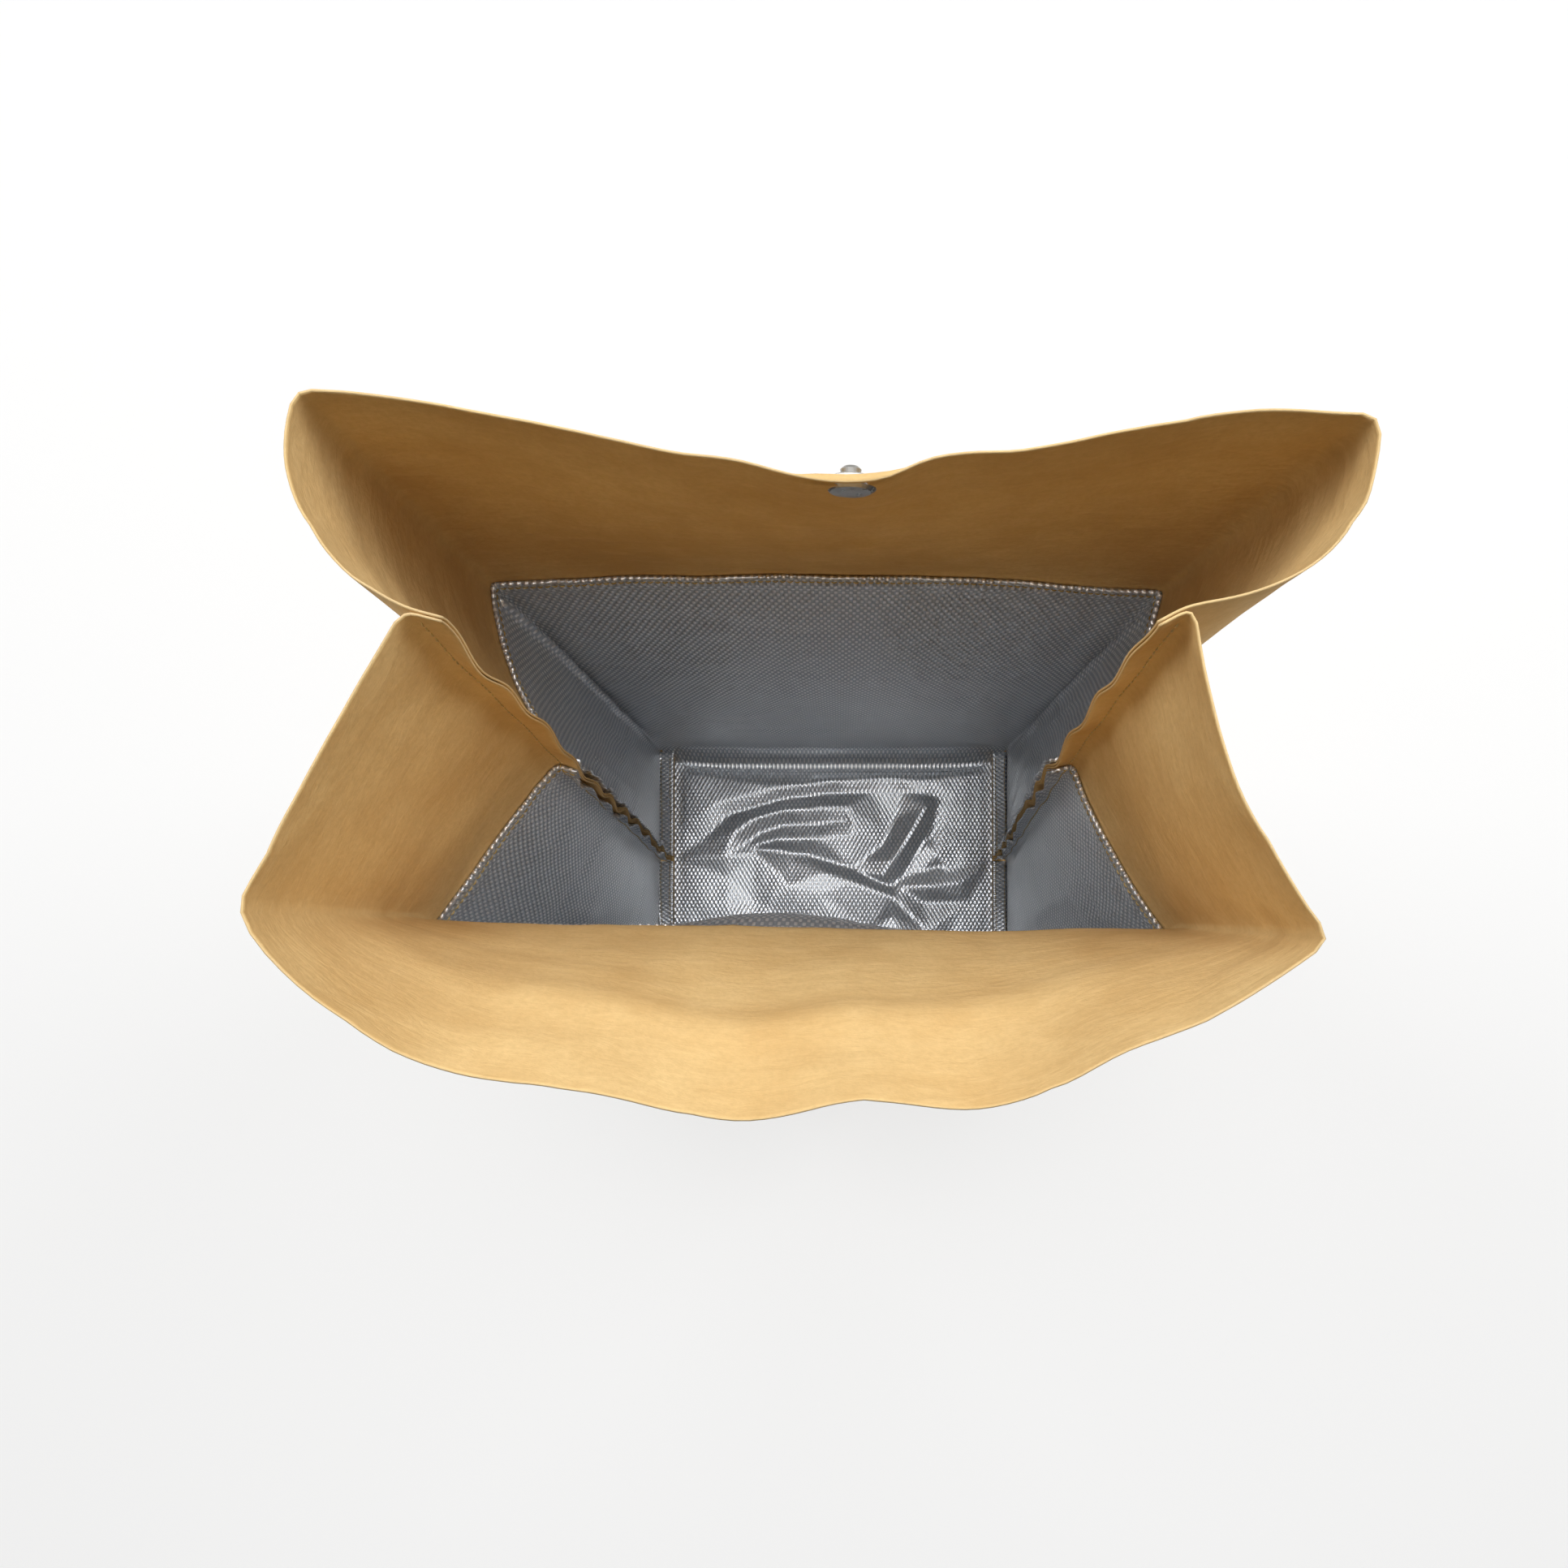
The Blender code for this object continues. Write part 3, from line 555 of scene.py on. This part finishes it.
def lay_sheet(bag, columns, rows, offset, base_step, cove=None, base_height=None):
    """The whole folded sheet at an offset: both walls, the base, its turned edges and flanges."""
    sheet = SheetMesh()
    cove = cove or {"front": 0.0, "back": 0.0}
    fin_foot = 0.006
    slit = 0.0012
    a, s = np.meshgrid(columns, rows, indexing="ij")
    far = np.abs(columns)
    in_panel = far <= bag.half + 1e-9
    walls = {}
    for side in ("front", "back"):
        points, inward = bag.layer(side, a, s, offset(side, a, s))
        up = s if side == "front" else -bag.depth - s
        walls[side] = sheet.grid(points, a, up)
        in_fin = far >= bag.half + bag.gusset - 1e-9
        cell_fin = in_fin[:-1] & in_fin[1:]
        keep = ~(cell_fin[:, None] & (rows[:-1] < fin_foot - 1e-9)[None, :])
        sheet.quads(walls[side], side == "front", keep)
    step = offset("base", np.zeros(1), np.zeros(1))[0]
    inner_run = even_run(slit, bag.depth - slit, base_step)
    shares = np.concatenate([[0], inner_run, [bag.depth]]) / bag.depth
    x = np.clip(columns[in_panel], -(bag.half - step), bag.half - step)
    front = -bag.gusset + cove["front"] * middle_share(bag, x)
    back = bag.gusset - cove["back"] * middle_share(bag, x)
    grid_x = np.repeat(x[:, None], len(shares), 1)
    grid_y = front[:, None] + (back - front)[:, None] * shares[None, :]
    level = np.full(grid_x.shape, bag.base_level + step)
    if base_height is not None:
        level = level + base_height(grid_x, grid_y)
    base = sheet.grid(np.stack([grid_x, grid_y, level], -1), grid_x, -grid_y - bag.gusset)
    base[:, 0] = walls["front"][in_panel, 0]
    base[:, -1] = walls["back"][in_panel, 0]
    sheet.quads(base, False)
    strip_y = shares[1:-1] * bag.depth - bag.gusset
    inner = bag.half - bag.base_allowance
    outer = bag.half - step
    path = [(outer, bag.base_level + step), (outer, bag.turn_level - step)]
    path += [(r, bag.turn_level - step) for r in np.linspace(outer, inner, 5)[1:]]
    path = np.array(path)
    for end in (-1, 1):
        points = np.zeros((len(path), len(strip_y), 3))
        points[..., 0] = end * path[:, :1]
        points[..., 1] = strip_y
        points[..., 2] = path[:, 1:]
        run = end * (bag.half + np.arange(len(path)) * 0.002)
        turn = sheet.grid(points, run[:, None], -strip_y[None, :] - bag.gusset)
        turn[0] = base[0 if end < 0 else -1, 1:-1]
        sheet.quads(turn, end < 0)
        for side, sign in (("front", -1), ("back", 1)):
            strip = (far > bag.half + slit) & (far < bag.half + bag.gusset + 0.0002)
            strip &= np.sign(columns) == end
            foot = walls[side][strip, 0]
            places = np.concatenate(sheet.points)[foot]
            shares_in = np.linspace(0, 1, 7)
            points = np.repeat(places[:, None, :], len(shares_in), 1)
            points[..., 0] += (end * inner - points[..., 0]) * shares_in
            points[..., 2] += strip_lift(bag, end, places[:, 1])[:, None] * shares_in
            up = shares_in * bag.base_allowance * sign - (bag.depth if side == "back" else 0)
            flange = sheet.grid(points, columns[strip][:, None], up[None, :])
            flange[:, 0] = foot
            sheet.quads(flange, (sign * end) > 0)
    return sheet


def paper_mesh(bag):
    columns = columns_across(bag, SHEET_STEP, SHEET_STEP, SHEET_STEP, 0.0016)
    rows = np.concatenate([[0, 0.003], even_run(0.006, bag.rim - 0.006, SHEET_STEP),
                           bag.rim - np.array([0.0045, 0.0036, 0.0028, 0.0021, 0.0014, 0.0007, 0])])
    sheet = lay_sheet(bag, columns, rows, lambda side, a, s: np.zeros_like(a), SHEET_STEP)
    return sheet.make("kraft_paper_sheet")


def lining_offset(bag, side, a, s):
    """How far the foil's middle stands in from the paper's middle."""
    if side == "base":
        return np.full_like(a, bag.lining_step)
    far = np.abs(a)
    panel = np.sin(np.pi * np.clip(a / bag.width + 0.5, 0, 1))
    share = np.clip((far - bag.half) / bag.gusset, 0, 1)
    open_part = np.where(far <= bag.half, panel, np.sin(np.pi * share) * 0.8)
    up = np.sin(np.pi * np.clip(s / (bag.lined - bag.hem), 0, 1))
    x = a + {"front": 0.0, "back": 1.1}[side]
    hang = 0.55 + 0.5 * bag.film_noise.at(x / 0.035, s / 0.11)
    stripes = 1 - np.abs(2 * bag.film_noise.at(x / 0.013 + 7, s / 0.080 + 4) - 1)
    pleats = np.where(far > bag.half, 0.0012, 0.0003)
    slack = bag.slack * open_part * up * hang
    seam = step_up(bag.half + bag.gusset - far, 0.001, 0.012) * up
    slack += pleats * stripes ** 3 * seam
    if side == "back":
        beside = far - bag.half
        pleat = np.where(a < 0, 0.0032 * np.exp(-((beside - 0.0045) / 0.0016) ** 2),
                         0.0013 * np.exp(-((beside - 0.0055) / 0.0022) ** 2))
        slack += pleat * step_up(s, 0.02, 0.08)
    out = np.clip((far - bag.half - bag.gusset) / bag.side_allowance, 0, 1)
    crumple = 0.4 + 1.2 * bag.edge.at(s / 0.011 + 13, a * 0 + np.sign(a) + 3)
    slack += 0.0018 * out ** 2 * crumple
    slack += 0.0009 * bag.broad.at(x / 0.030 + 2, s / 0.045 + 9) * seam * np.where(far > bag.half, 0.6, 1)
    foot = np.clip(1 - s / COVE[side], 0, 1) ** 2
    slack += COVE[side] * foot * np.where(far <= bag.half, middle_share(bag, a), 0)
    if side == "front":
        slack += 0.0080 * np.exp(-((a + 0.010) / 0.042) ** 2 - ((s - 0.250) / 0.020) ** 2)
    hem = step_up(s, bag.lined - bag.hem - 0.004, bag.lined - bag.hem)
    return bag.lining_step + slack * (1 - hem) + bag.hem_step * hem


def foil_mesh(bag):
    columns = columns_across(bag, FOIL_STEP, 0.00125, GUSSET_STEP, 0.0011)
    rows = np.concatenate([[0, 0.003], even_run(0.006, bag.lined - 0.0065, FOIL_ROW)])
    sheet = lay_sheet(bag, columns, rows, lambda side, a, s: lining_offset(bag, side, a, s),
                      FOIL_STEP, COVE, lambda x, y: fold_heights(bag, x, y))
    return sheet.make("foil_sheet")


def hem_mesh(bag, pitch):
    """The lining's folded top edge, puckered between its stitches."""
    sheet = SheetMesh()
    columns = np.linspace(-bag.across, bag.across, int(2 * bag.across / 0.0006) + 1)
    visible = np.linspace(bag.lined - bag.hem - 0.002, bag.lined - 0.0004, 11)
    hidden = np.linspace(bag.lined - 0.0004, bag.lined - bag.hem, 4)
    rows = np.concatenate([visible, [bag.lined], hidden])
    main = bag.lining_step + bag.hem_step
    depth = np.concatenate([np.full(11, main + 0.00008), [main - bag.hem_step / 2],
                            np.full(4, bag.lining_step)])
    depth[0] -= 0.00030
    a, s = np.meshgrid(columns, rows, indexing="ij")
    stitch_row = bag.lined - bag.hem / 2
    for side in ("front", "back"):
        beat = np.abs(np.sin(np.pi * (a / pitch + (s - stitch_row) / 0.009)))
        vary = 0.7 + 0.6 * bag.fine.at(a / 0.004, s * 0 + (5 if side == "front" else 9))
        above = step_up(s, stitch_row, bag.lined - 0.0002)
        near = np.exp(-((s - stitch_row) / 0.0011) ** 2)
        below = np.exp(-((s - stitch_row + 0.0016) / 0.0016) ** 2)
        pucker = 0.00078 * beat * vary * (above + 0.5 * below) - 0.00016 * near
        visible_rows = (np.arange(len(rows)) < 12)[None, :]
        offset = depth[None, :] + np.where(visible_rows, pucker, 0)
        height = s + np.where(visible_rows, 0.00060 * above * (beat * vary - 0.5), 0)
        point, inward = bag.surface(side, a, s)
        points = point + inward * (bag.ripple(side, a, s) + offset)[..., None]
        points[..., 2] += height - s
        index = sheet.grid(points, a, s if side == "front" else -bag.depth - s)
        sheet.quads(index, side == "front")
    return sheet.make("foil_hem_fold")


def stitch_template(length, thickness):
    """One stitch as rings of six points: low ends and a raised middle, along X with Z up."""
    rings = []
    for share in (0, 0.12, 0.32, 0.5, 0.68, 0.88, 1):
        rise = thickness * (1.1 * math.sin(math.pi * share) - 0.35)
        radius = thickness / 2 * (0.35 + 0.65 * math.sin(math.pi * share) ** 0.4 if 0 < share < 1 else 0.2)
        for k in range(6):
            angle = k * math.pi / 3
            rings.append(((share - 0.5) * length, radius * math.cos(angle),
                          rise + radius * math.sin(angle)))
    faces = []
    for r in range(6):
        for k in range(6):
            faces.append((r * 6 + k, r * 6 + (k + 1) % 6, (r + 1) * 6 + (k + 1) % 6, (r + 1) * 6 + k))
    faces = [face[::-1] for face in faces]
    return np.array(rings), faces, [tuple(range(6)), tuple(range(41, 35, -1))]


def stitch_run(path, outward, pitch, thickness, seed):
    """Stitches along a path of points, standing on a surface whose outward steps are given."""
    steps = np.linalg.norm(np.diff(path, axis=0), axis=1)
    reach = np.concatenate([[0], np.cumsum(steps)])
    places = np.arange(pitch / 2, reach[-1] - pitch / 2, pitch)
    rng = np.random.default_rng(seed)
    rings, faces, caps = stitch_template(pitch * 0.92, thickness)
    points, all_faces = [], []
    for n, place in enumerate(places):
        here = np.array([np.interp(place, reach, path[:, k]) for k in range(3)])
        ahead = np.array([np.interp(place + pitch * 0.4, reach, path[:, k]) for k in range(3)])
        behind = np.array([np.interp(place - pitch * 0.4, reach, path[:, k]) for k in range(3)])
        up = np.array([np.interp(place, reach, outward[:, k]) for k in range(3)])
        along = (ahead - behind) / np.linalg.norm(ahead - behind)
        across = np.cross(up, along)
        across /= np.linalg.norm(across)
        up = np.cross(along, across)
        along = along + across * rng.normal(0, 0.07)
        base = len(points) * len(rings)
        points.append(here + rings[:, :1] * along + rings[:, 1:2] * across + rings[:, 2:] * up)
        all_faces += [tuple(base + v for v in face) for face in faces + caps]
    return np.concatenate(points), all_faces


def stitch_piece(name, runs, stitches, finish, replaced):
    points, faces = [], []
    for i, (path, outward) in enumerate(runs):
        run_points, run_faces = stitch_run(path, outward, stitches.pitch, stitches.thickness, i)
        base = sum(len(p) for p in points)
        faces += [tuple(base + v for v in face) for face in run_faces]
        points.append(run_points)
    mesh = bpy.data.meshes.new(name)
    mesh.from_pydata(np.concatenate(points).tolist(), [], faces)
    mesh.shade_smooth()
    return add_piece(name, mesh, [finish], replaced)


def new_material(name):
    made = bpy.data.materials.new(name)
    made.use_nodes = True
    tree = made.node_tree
    return made, tree, tree.nodes["Principled BSDF"]


def add_node(tree, kind, values=(), **settings):
    """A node with its settings, and its inputs given as values or as sockets to link from."""
    node = tree.nodes.new(kind)
    for key, value in settings.items():
        setattr(node, key, value)
    for key, value in dict(values).items():
        if isinstance(value, bpy.types.NodeSocket):
            tree.links.new(value, node.inputs[key])
        else:
            node.inputs[key].default_value = value
    return node


def mix_colour(tree, factor, first, second):
    node = add_node(tree, "ShaderNodeMix", {0: factor}, data_type="RGBA")
    for key, value in ((6, first), (7, second)):
        if isinstance(value, bpy.types.NodeSocket):
            tree.links.new(value, node.inputs[key])
        else:
            node.inputs[key].default_value = (*value, 1)
    return node.outputs[2]


def noise(tree, place, scale, detail=3.0, roughness=0.55, distortion=0.0):
    return add_node(tree, "ShaderNodeTexNoise", {
        "Vector": place, "Scale": scale, "Detail": detail, "Roughness": roughness,
        "Distortion": distortion}).outputs["Fac"]


def spread_range(tree, value, low, high, to_low=0.0, to_high=1.0):
    return add_node(tree, "ShaderNodeMapRange", {
        "Value": value, "From Min": low, "From Max": high, "To Min": to_low, "To Max": to_high
    }).outputs["Result"]


def paper_material(name, light, dark, rough=0.86):
    """Washed kraft paper: cloudy fibres, and a fine crinkle that runs across the sheet."""
    made, tree, shader = new_material(name)
    sheet = add_node(tree, "ShaderNodeUVMap", uv_map="sheet").outputs["UV"]
    across = add_node(tree, "ShaderNodeMapping", {"Vector": sheet, "Scale": (1, 2.6, 1)})
    place = add_node(tree, "ShaderNodeTexCoord").outputs["Object"]
    clouds = noise(tree, place, 24, 4, 0.6)
    fibres = noise(tree, place, 700, 4, 0.6)
    streaks = noise(tree, across.outputs[0], 95, 5, 0.62, 0.4)
    colour = mix_colour(tree, spread_range(tree, clouds, 0.3, 0.7), dark, light)
    darker = tuple(0.82 * c for c in dark)
    colour = mix_colour(tree, spread_range(tree, fibres, 0.38, 0.62, 0.22, 0.0), colour, darker)
    paler = tuple(min(1, 1.06 * c + 0.02) for c in light)
    colour = mix_colour(tree, spread_range(tree, streaks, 0.50, 0.66, 0.0, 0.18), colour, paler)
    tree.links.new(colour, shader.inputs["Base Color"])
    shader.inputs["Roughness"].default_value = rough
    shader.inputs["Specular IOR Level"].default_value = 0.25
    crinkle = add_node(tree, "ShaderNodeBump", {
        "Height": streaks, "Strength": 0.4, "Distance": 0.0009})
    grain = add_node(tree, "ShaderNodeBump", {
        "Height": fibres, "Strength": 0.30, "Distance": 0.0002, "Normal": crinkle.outputs[0]})
    tree.links.new(grain.outputs[0], shader.inputs["Normal"])
    return made


def foil_material(foil):
    """Bright film embossed with staggered rows of small dots, with painted highlights on the dot tops and
    painted shade between them.
    """
    made, tree, shader = new_material("dotted_foil")
    sheet = add_node(tree, "ShaderNodeUVMap", uv_map="sheet").outputs["UV"]
    parts = add_node(tree, "ShaderNodeSeparateXYZ", {"Vector": sheet})

    def wave(value, pitch):
        turned = add_node(tree, "ShaderNodeMath", {0: value, 1: 2 * math.pi / pitch},
                          operation="MULTIPLY")
        return add_node(tree, "ShaderNodeMath", {0: turned.outputs[0]},
                        operation="COSINE").outputs[0]

    dots = add_node(tree, "ShaderNodeMath", {
        0: wave(parts.outputs["X"], foil.dot_across), 1: wave(parts.outputs["Y"], foil.dot_up)},
        operation="MULTIPLY").outputs[0]
    place = add_node(tree, "ShaderNodeTexCoord").outputs["Object"]
    smudge = noise(tree, place, 45, 3, 0.5)
    # Painted highlight and shade: the dot tops are painted brighter and the ground between the dots darker,
    # standing in for the glints the embossed dots catch under the lamps.
    top = spread_range(tree, dots, 0.0, 0.50)
    shaded_dot_ground = tuple(0.68 * c for c in foil.colour)
    painted_dot_glint = tuple(min(1, 1.28 * c) for c in foil.colour)
    tree.links.new(mix_colour(tree, top, shaded_dot_ground, painted_dot_glint), shader.inputs["Base Color"])
    shader.inputs["Metallic"].default_value = 0.62
    tree.links.new(spread_range(tree, smudge, 0.3, 0.7, 0.29, 0.36), shader.inputs["Roughness"])
    up = add_node(tree, "ShaderNodeSeparateXYZ", {"Vector": place}).outputs["Z"]
    embossed = add_node(tree, "ShaderNodeBump", {
        "Height": dots, "Strength": spread_range(tree, up, 0.03, 0.22, 0.65, 1.0),
        "Distance": foil.dot_height})
    tree.links.new(embossed.outputs[0], shader.inputs["Normal"])
    return made


def thread_material(stitches):
    made, tree, shader = new_material("tan_thread")
    place = add_node(tree, "ShaderNodeTexCoord").outputs["Object"]
    twist = noise(tree, place, 900, 3)
    dark = tuple(0.62 * c for c in stitches.colour)
    colour = mix_colour(tree, spread_range(tree, twist, 0.35, 0.65), dark, tuple(stitches.colour))
    tree.links.new(colour, shader.inputs["Base Color"])
    shader.inputs["Roughness"].default_value = 0.62
    shader.inputs["Sheen Weight"].default_value = 0.3
    bump = add_node(tree, "ShaderNodeBump", {"Height": twist, "Strength": 0.6, "Distance": 0.0002})
    tree.links.new(bump.outputs[0], shader.inputs["Normal"])
    return made


def metal_material(snap):
    made, tree, shader = new_material("nickel")
    place = add_node(tree, "ShaderNodeTexCoord").outputs["Object"]
    worn = noise(tree, place, 320, 4)
    lighter = tuple(min(1, 1.5 * c) for c in snap.colour)
    colour = mix_colour(tree, spread_range(tree, worn, 0.55, 0.75), tuple(snap.colour), lighter)
    tree.links.new(colour, shader.inputs["Base Color"])
    tree.links.new(spread_range(tree, worn, 0.3, 0.7, 0.25, 0.42), shader.inputs["Roughness"])
    shader.inputs["Metallic"].default_value = 1.0
    return made


def current_bag(scene):
    return Bag(scene.bag_sizes, scene.bag_paper, scene.bag_foil)


class BAG_OT_paper(bpy.types.Operator):
    """Make the folded kraft paper sheet"""
    bl_idname = "paper_bag.paper"
    bl_label = "Paper Sheet"

    def execute(self, context):
        look = context.scene.bag_paper
        bag = current_bag(context.scene)
        face = paper_material("washed_kraft", tuple(look.light), tuple(look.dark))
        edge = paper_material("kraft_cut_edge", tuple(look.edge), tuple(look.light), 0.92)
        piece = add_piece("kraft_paper_sheet", paper_mesh(bag), [face, edge],
                          ["paper_shell"])
        thicken(piece, bag.paper, 1)
        return {"FINISHED"}


class BAG_OT_lining(bpy.types.Operator):
    """Make the foil lining and its stitched hem"""
    bl_idname = "paper_bag.lining"
    bl_label = "Foil Lining"

    def execute(self, context):
        scene = context.scene
        bag = current_bag(scene)
        film = foil_material(scene.bag_foil)
        piece = add_piece("foil_sheet", foil_mesh(bag), [film], ["foil_lining"])
        thicken(piece, bag.film)
        hem = hem_mesh(bag, scene.bag_stitches.pitch)
        piece = add_piece("foil_hem_fold", hem, [film], [])
        thicken(piece, bag.film / 2)
        return {"FINISHED"}


class BAG_OT_stitches(bpy.types.Operator):
    """Sew the hems, the side seams and the base seams"""
    bl_idname = "paper_bag.stitches"
    bl_label = "Stitching"

    def execute(self, context):
        scene = context.scene
        bag = current_bag(scene)
        stitches = scene.bag_stitches
        yarn = thread_material(stitches)
        stitch_row = bag.lined - bag.hem / 2
        a = np.linspace(-bag.across + 0.001, bag.across - 0.001, 600)
        for side in ("front", "back"):
            s = np.full_like(a, stitch_row)
            offset = np.full_like(a, bag.lining_step + bag.hem_step + bag.film / 2)
            path, inward = bag.layer(side, a, s, offset)
            stitch_piece("hem_stitches_" + side, [(path, inward)], stitches, yarn,
                         ["hem_thread_" + side])
        for end, name in ((-1, "left"), (1, "right")):
            s = np.linspace(0.008, bag.rim - 0.003, 400)
            a = np.full_like(s, end * (bag.half + bag.gusset + 0.0022))
            lined = 1 - step_up(s, bag.lined - 0.0005, bag.lined + 0.0005)
            offset = bag.paper / 2 + lined * (bag.lining_step + bag.film / 2 - bag.paper / 2)
            offset += bag.hem_step * step_up(s, bag.lined - bag.hem - 0.004, bag.lined - bag.hem) * lined
            runs = [bag.layer(side, a, s, offset) for side in ("front", "back")]
            stitch_piece("side_stitches_" + name, runs, stitches, yarn,
                         ["side_seam_thread_" + name])
            y = np.linspace(-bag.gusset + 0.006, bag.gusset - 0.006, 60)
            level = bag.flange_level + bag.lining_step + bag.film / 2
            up = np.tile([0.0, 0.0, 1.0], (len(y), 1))
            runs = []
            for label, out in (("base_stitches_", 0.0022), ("base_topstitches_", 0.008)):
                x = np.full_like(y, end * (bag.half - out)) + 0.0004 * np.sin(90 * y)
                lift = strip_lift(bag, end, y) * (out / bag.base_allowance)
                path = np.stack([x, y, level + lift], -1)
                node = {"base_stitches_": "base_seam_thread_"}.get(label, "base_topstitch_thread_")
                stitch_piece(label + name, [(path, up)], stitches, yarn, [node + name])
        return {"FINISHED"}


class BAG_OT_snap(bpy.types.Operator):
    """Finish the press stud and its socket"""
    bl_idname = "paper_bag.snap"
    bl_label = "Press Stud"

    def execute(self, context):
        metal = metal_material(context.scene.bag_snap)
        for name in ("snap_stud_cap", "snap_stud", "snap_socket", "snap_socket_post"):
            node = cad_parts[name]
            mesh = node.data.copy()
            mesh.transform(node.matrix_world)
            mesh.materials.clear()
            mesh.shade_smooth()
            add_piece(name + "_metal", mesh, [metal], [name])
        return {"FINISHED"}


class BAG_OT_stage(bpy.types.Operator):
    """Set the floor, the lamps, the sky and the camera"""
    bl_idname = "paper_bag.stage"
    bl_label = "Studio"

    def execute(self, context):
        scene = context.scene
        stage = scene.bag_stage
        mesh = bpy.data.meshes.new("studio_floor")
        reach = 3.0
        mesh.from_pydata([(-reach, -reach, 0), (reach, -reach, 0), (reach, reach, 0),
                          (-reach, reach, 0)], [], [(0, 1, 2, 3)])
        floor = bpy.data.objects.new("studio_floor", mesh)
        floor.location.z = -0.0004
        scene.collection.objects.link(floor)
        made, tree, shader = new_material("pale_floor")
        shader.inputs["Base Color"].default_value = (*stage.floor, 1)
        shader.inputs["Roughness"].default_value = 0.9
        white = add_node(tree, "ShaderNodeEmission", {"Color": (1, 1, 1, 1), "Strength": 1.0})
        seen = add_node(tree, "ShaderNodeLightPath").outputs["Is Camera Ray"]
        share = add_node(tree, "ShaderNodeMath", {0: seen, 1: stage.backdrop}, operation="MULTIPLY")
        mixed = add_node(tree, "ShaderNodeMixShader", {
            0: share.outputs[0], 1: shader.outputs[0], 2: white.outputs[0]})
        tree.links.new(mixed.outputs[0], tree.nodes["Material Output"].inputs["Surface"])
        mesh.materials.append(made)

        world = bpy.data.worlds.new("studio_sky")
        world.use_nodes = True
        scene.world = world
        tree = world.node_tree
        tree.nodes.clear()
        rays = add_node(tree, "ShaderNodeLightPath")
        even = add_node(tree, "ShaderNodeBackground", {"Color": (1, 1, 1, 1), "Strength": stage.sky})
        seen = add_node(tree, "ShaderNodeBackground", {"Color": (1, 1, 1, 1), "Strength": 1.0})
        direct = add_node(tree, "ShaderNodeMath", {
            0: rays.outputs["Is Camera Ray"], 1: rays.outputs["Is Glossy Ray"]}, operation="MAXIMUM")
        mixed = add_node(tree, "ShaderNodeMixShader", {
            0: direct.outputs[0], 1: even.outputs[0], 2: seen.outputs[0]})
        output = add_node(tree, "ShaderNodeOutputWorld", {"Surface": mixed.outputs[0]})

        for name, power, size, place in (
                ("top_lamp", stage.top_power, 0.55, (0.0, 0.10, 1.5)),
                ("back_lamp", stage.back_power, 1.1, (0.0, 0.80, 1.5)),
                ("left_lamp", stage.side_power, 1.0, (-1.33, 0.70, 1.27)),
                ("right_lamp", 1.15 * stage.side_power, 1.0, (1.37, 0.65, 1.27))):
            lamp = bpy.data.lights.new(name, "AREA")
            lamp.energy = power
            lamp.size = size
            holder = bpy.data.objects.new(name, lamp)
            holder.location = place
            aim = Vector((0, 0, 0.25)) - Vector(place)
            holder.rotation_euler = aim.to_track_quat("-Z", "Y").to_euler()
            scene.collection.objects.link(holder)

        camera = bpy.data.cameras.new("studio_camera")
        camera.lens = stage.lens
        camera.sensor_width = 36
        camera.shift_x = -0.0367
        camera.shift_y = 0.0766
        camera.clip_start = 0.01
        holder = bpy.data.objects.new("studio_camera", camera)
        turn = (Matrix.Rotation(math.radians(0.01), 4, "Z") @ Matrix.Rotation(math.radians(-0.23), 4, "Y")
                @ Matrix.Rotation(math.radians(0.81), 4, "X"))
        holder.matrix_world = Matrix.Translation((0.0029, -0.0364, 0.5632)) @ turn
        scene.collection.objects.link(holder)
        scene.camera = holder
        scene.view_settings.view_transform = "Standard"
        return {"FINISHED"}


OPERATORS = (BAG_OT_paper, BAG_OT_lining, BAG_OT_stitches, BAG_OT_snap, BAG_OT_stage)
GROUPS = {
    "bag_sizes": BAG_PG_sizes,
    "bag_paper": BAG_PG_paper,
    "bag_foil": BAG_PG_foil,
    "bag_stitches": BAG_PG_stitches,
    "bag_snap": BAG_PG_snap,
    "bag_stage": BAG_PG_stage,
}


class BAG_PT_panel(bpy.types.Panel):
    """Sizes, colours and steps of the paper cooler bag"""
    bl_idname = "BAG_PT_panel"
    bl_label = "Paper Cooler Bag"
    bl_space_type = "VIEW_3D"
    bl_region_type = "UI"
    bl_category = "Paper Bag"

    def draw(self, context):
        for name, group in GROUPS.items():
            box = self.layout.box()
            box.label(text=name.replace("_", " "))
            for prop in group.__annotations__:
                box.prop(getattr(context.scene, name), prop)
        for operator in OPERATORS:
            self.layout.operator(operator.bl_idname)


def register():
    for cls in (*GROUPS.values(), *OPERATORS, BAG_PT_panel):
        bpy.utils.register_class(cls)
    for name, group in GROUPS.items():
        setattr(bpy.types.Scene, name, PointerProperty(type=group))


def unregister():
    for name in GROUPS:
        delattr(bpy.types.Scene, name)
    for cls in reversed((*GROUPS.values(), *OPERATORS, BAG_PT_panel)):
        bpy.utils.unregister_class(cls)


def main():
    register()
    bpy.ops.paper_bag.paper()
    bpy.ops.paper_bag.lining()
    bpy.ops.paper_bag.stitches()
    bpy.ops.paper_bag.snap()
    bpy.ops.paper_bag.stage()
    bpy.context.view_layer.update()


if __name__ == "__main__":
    main()
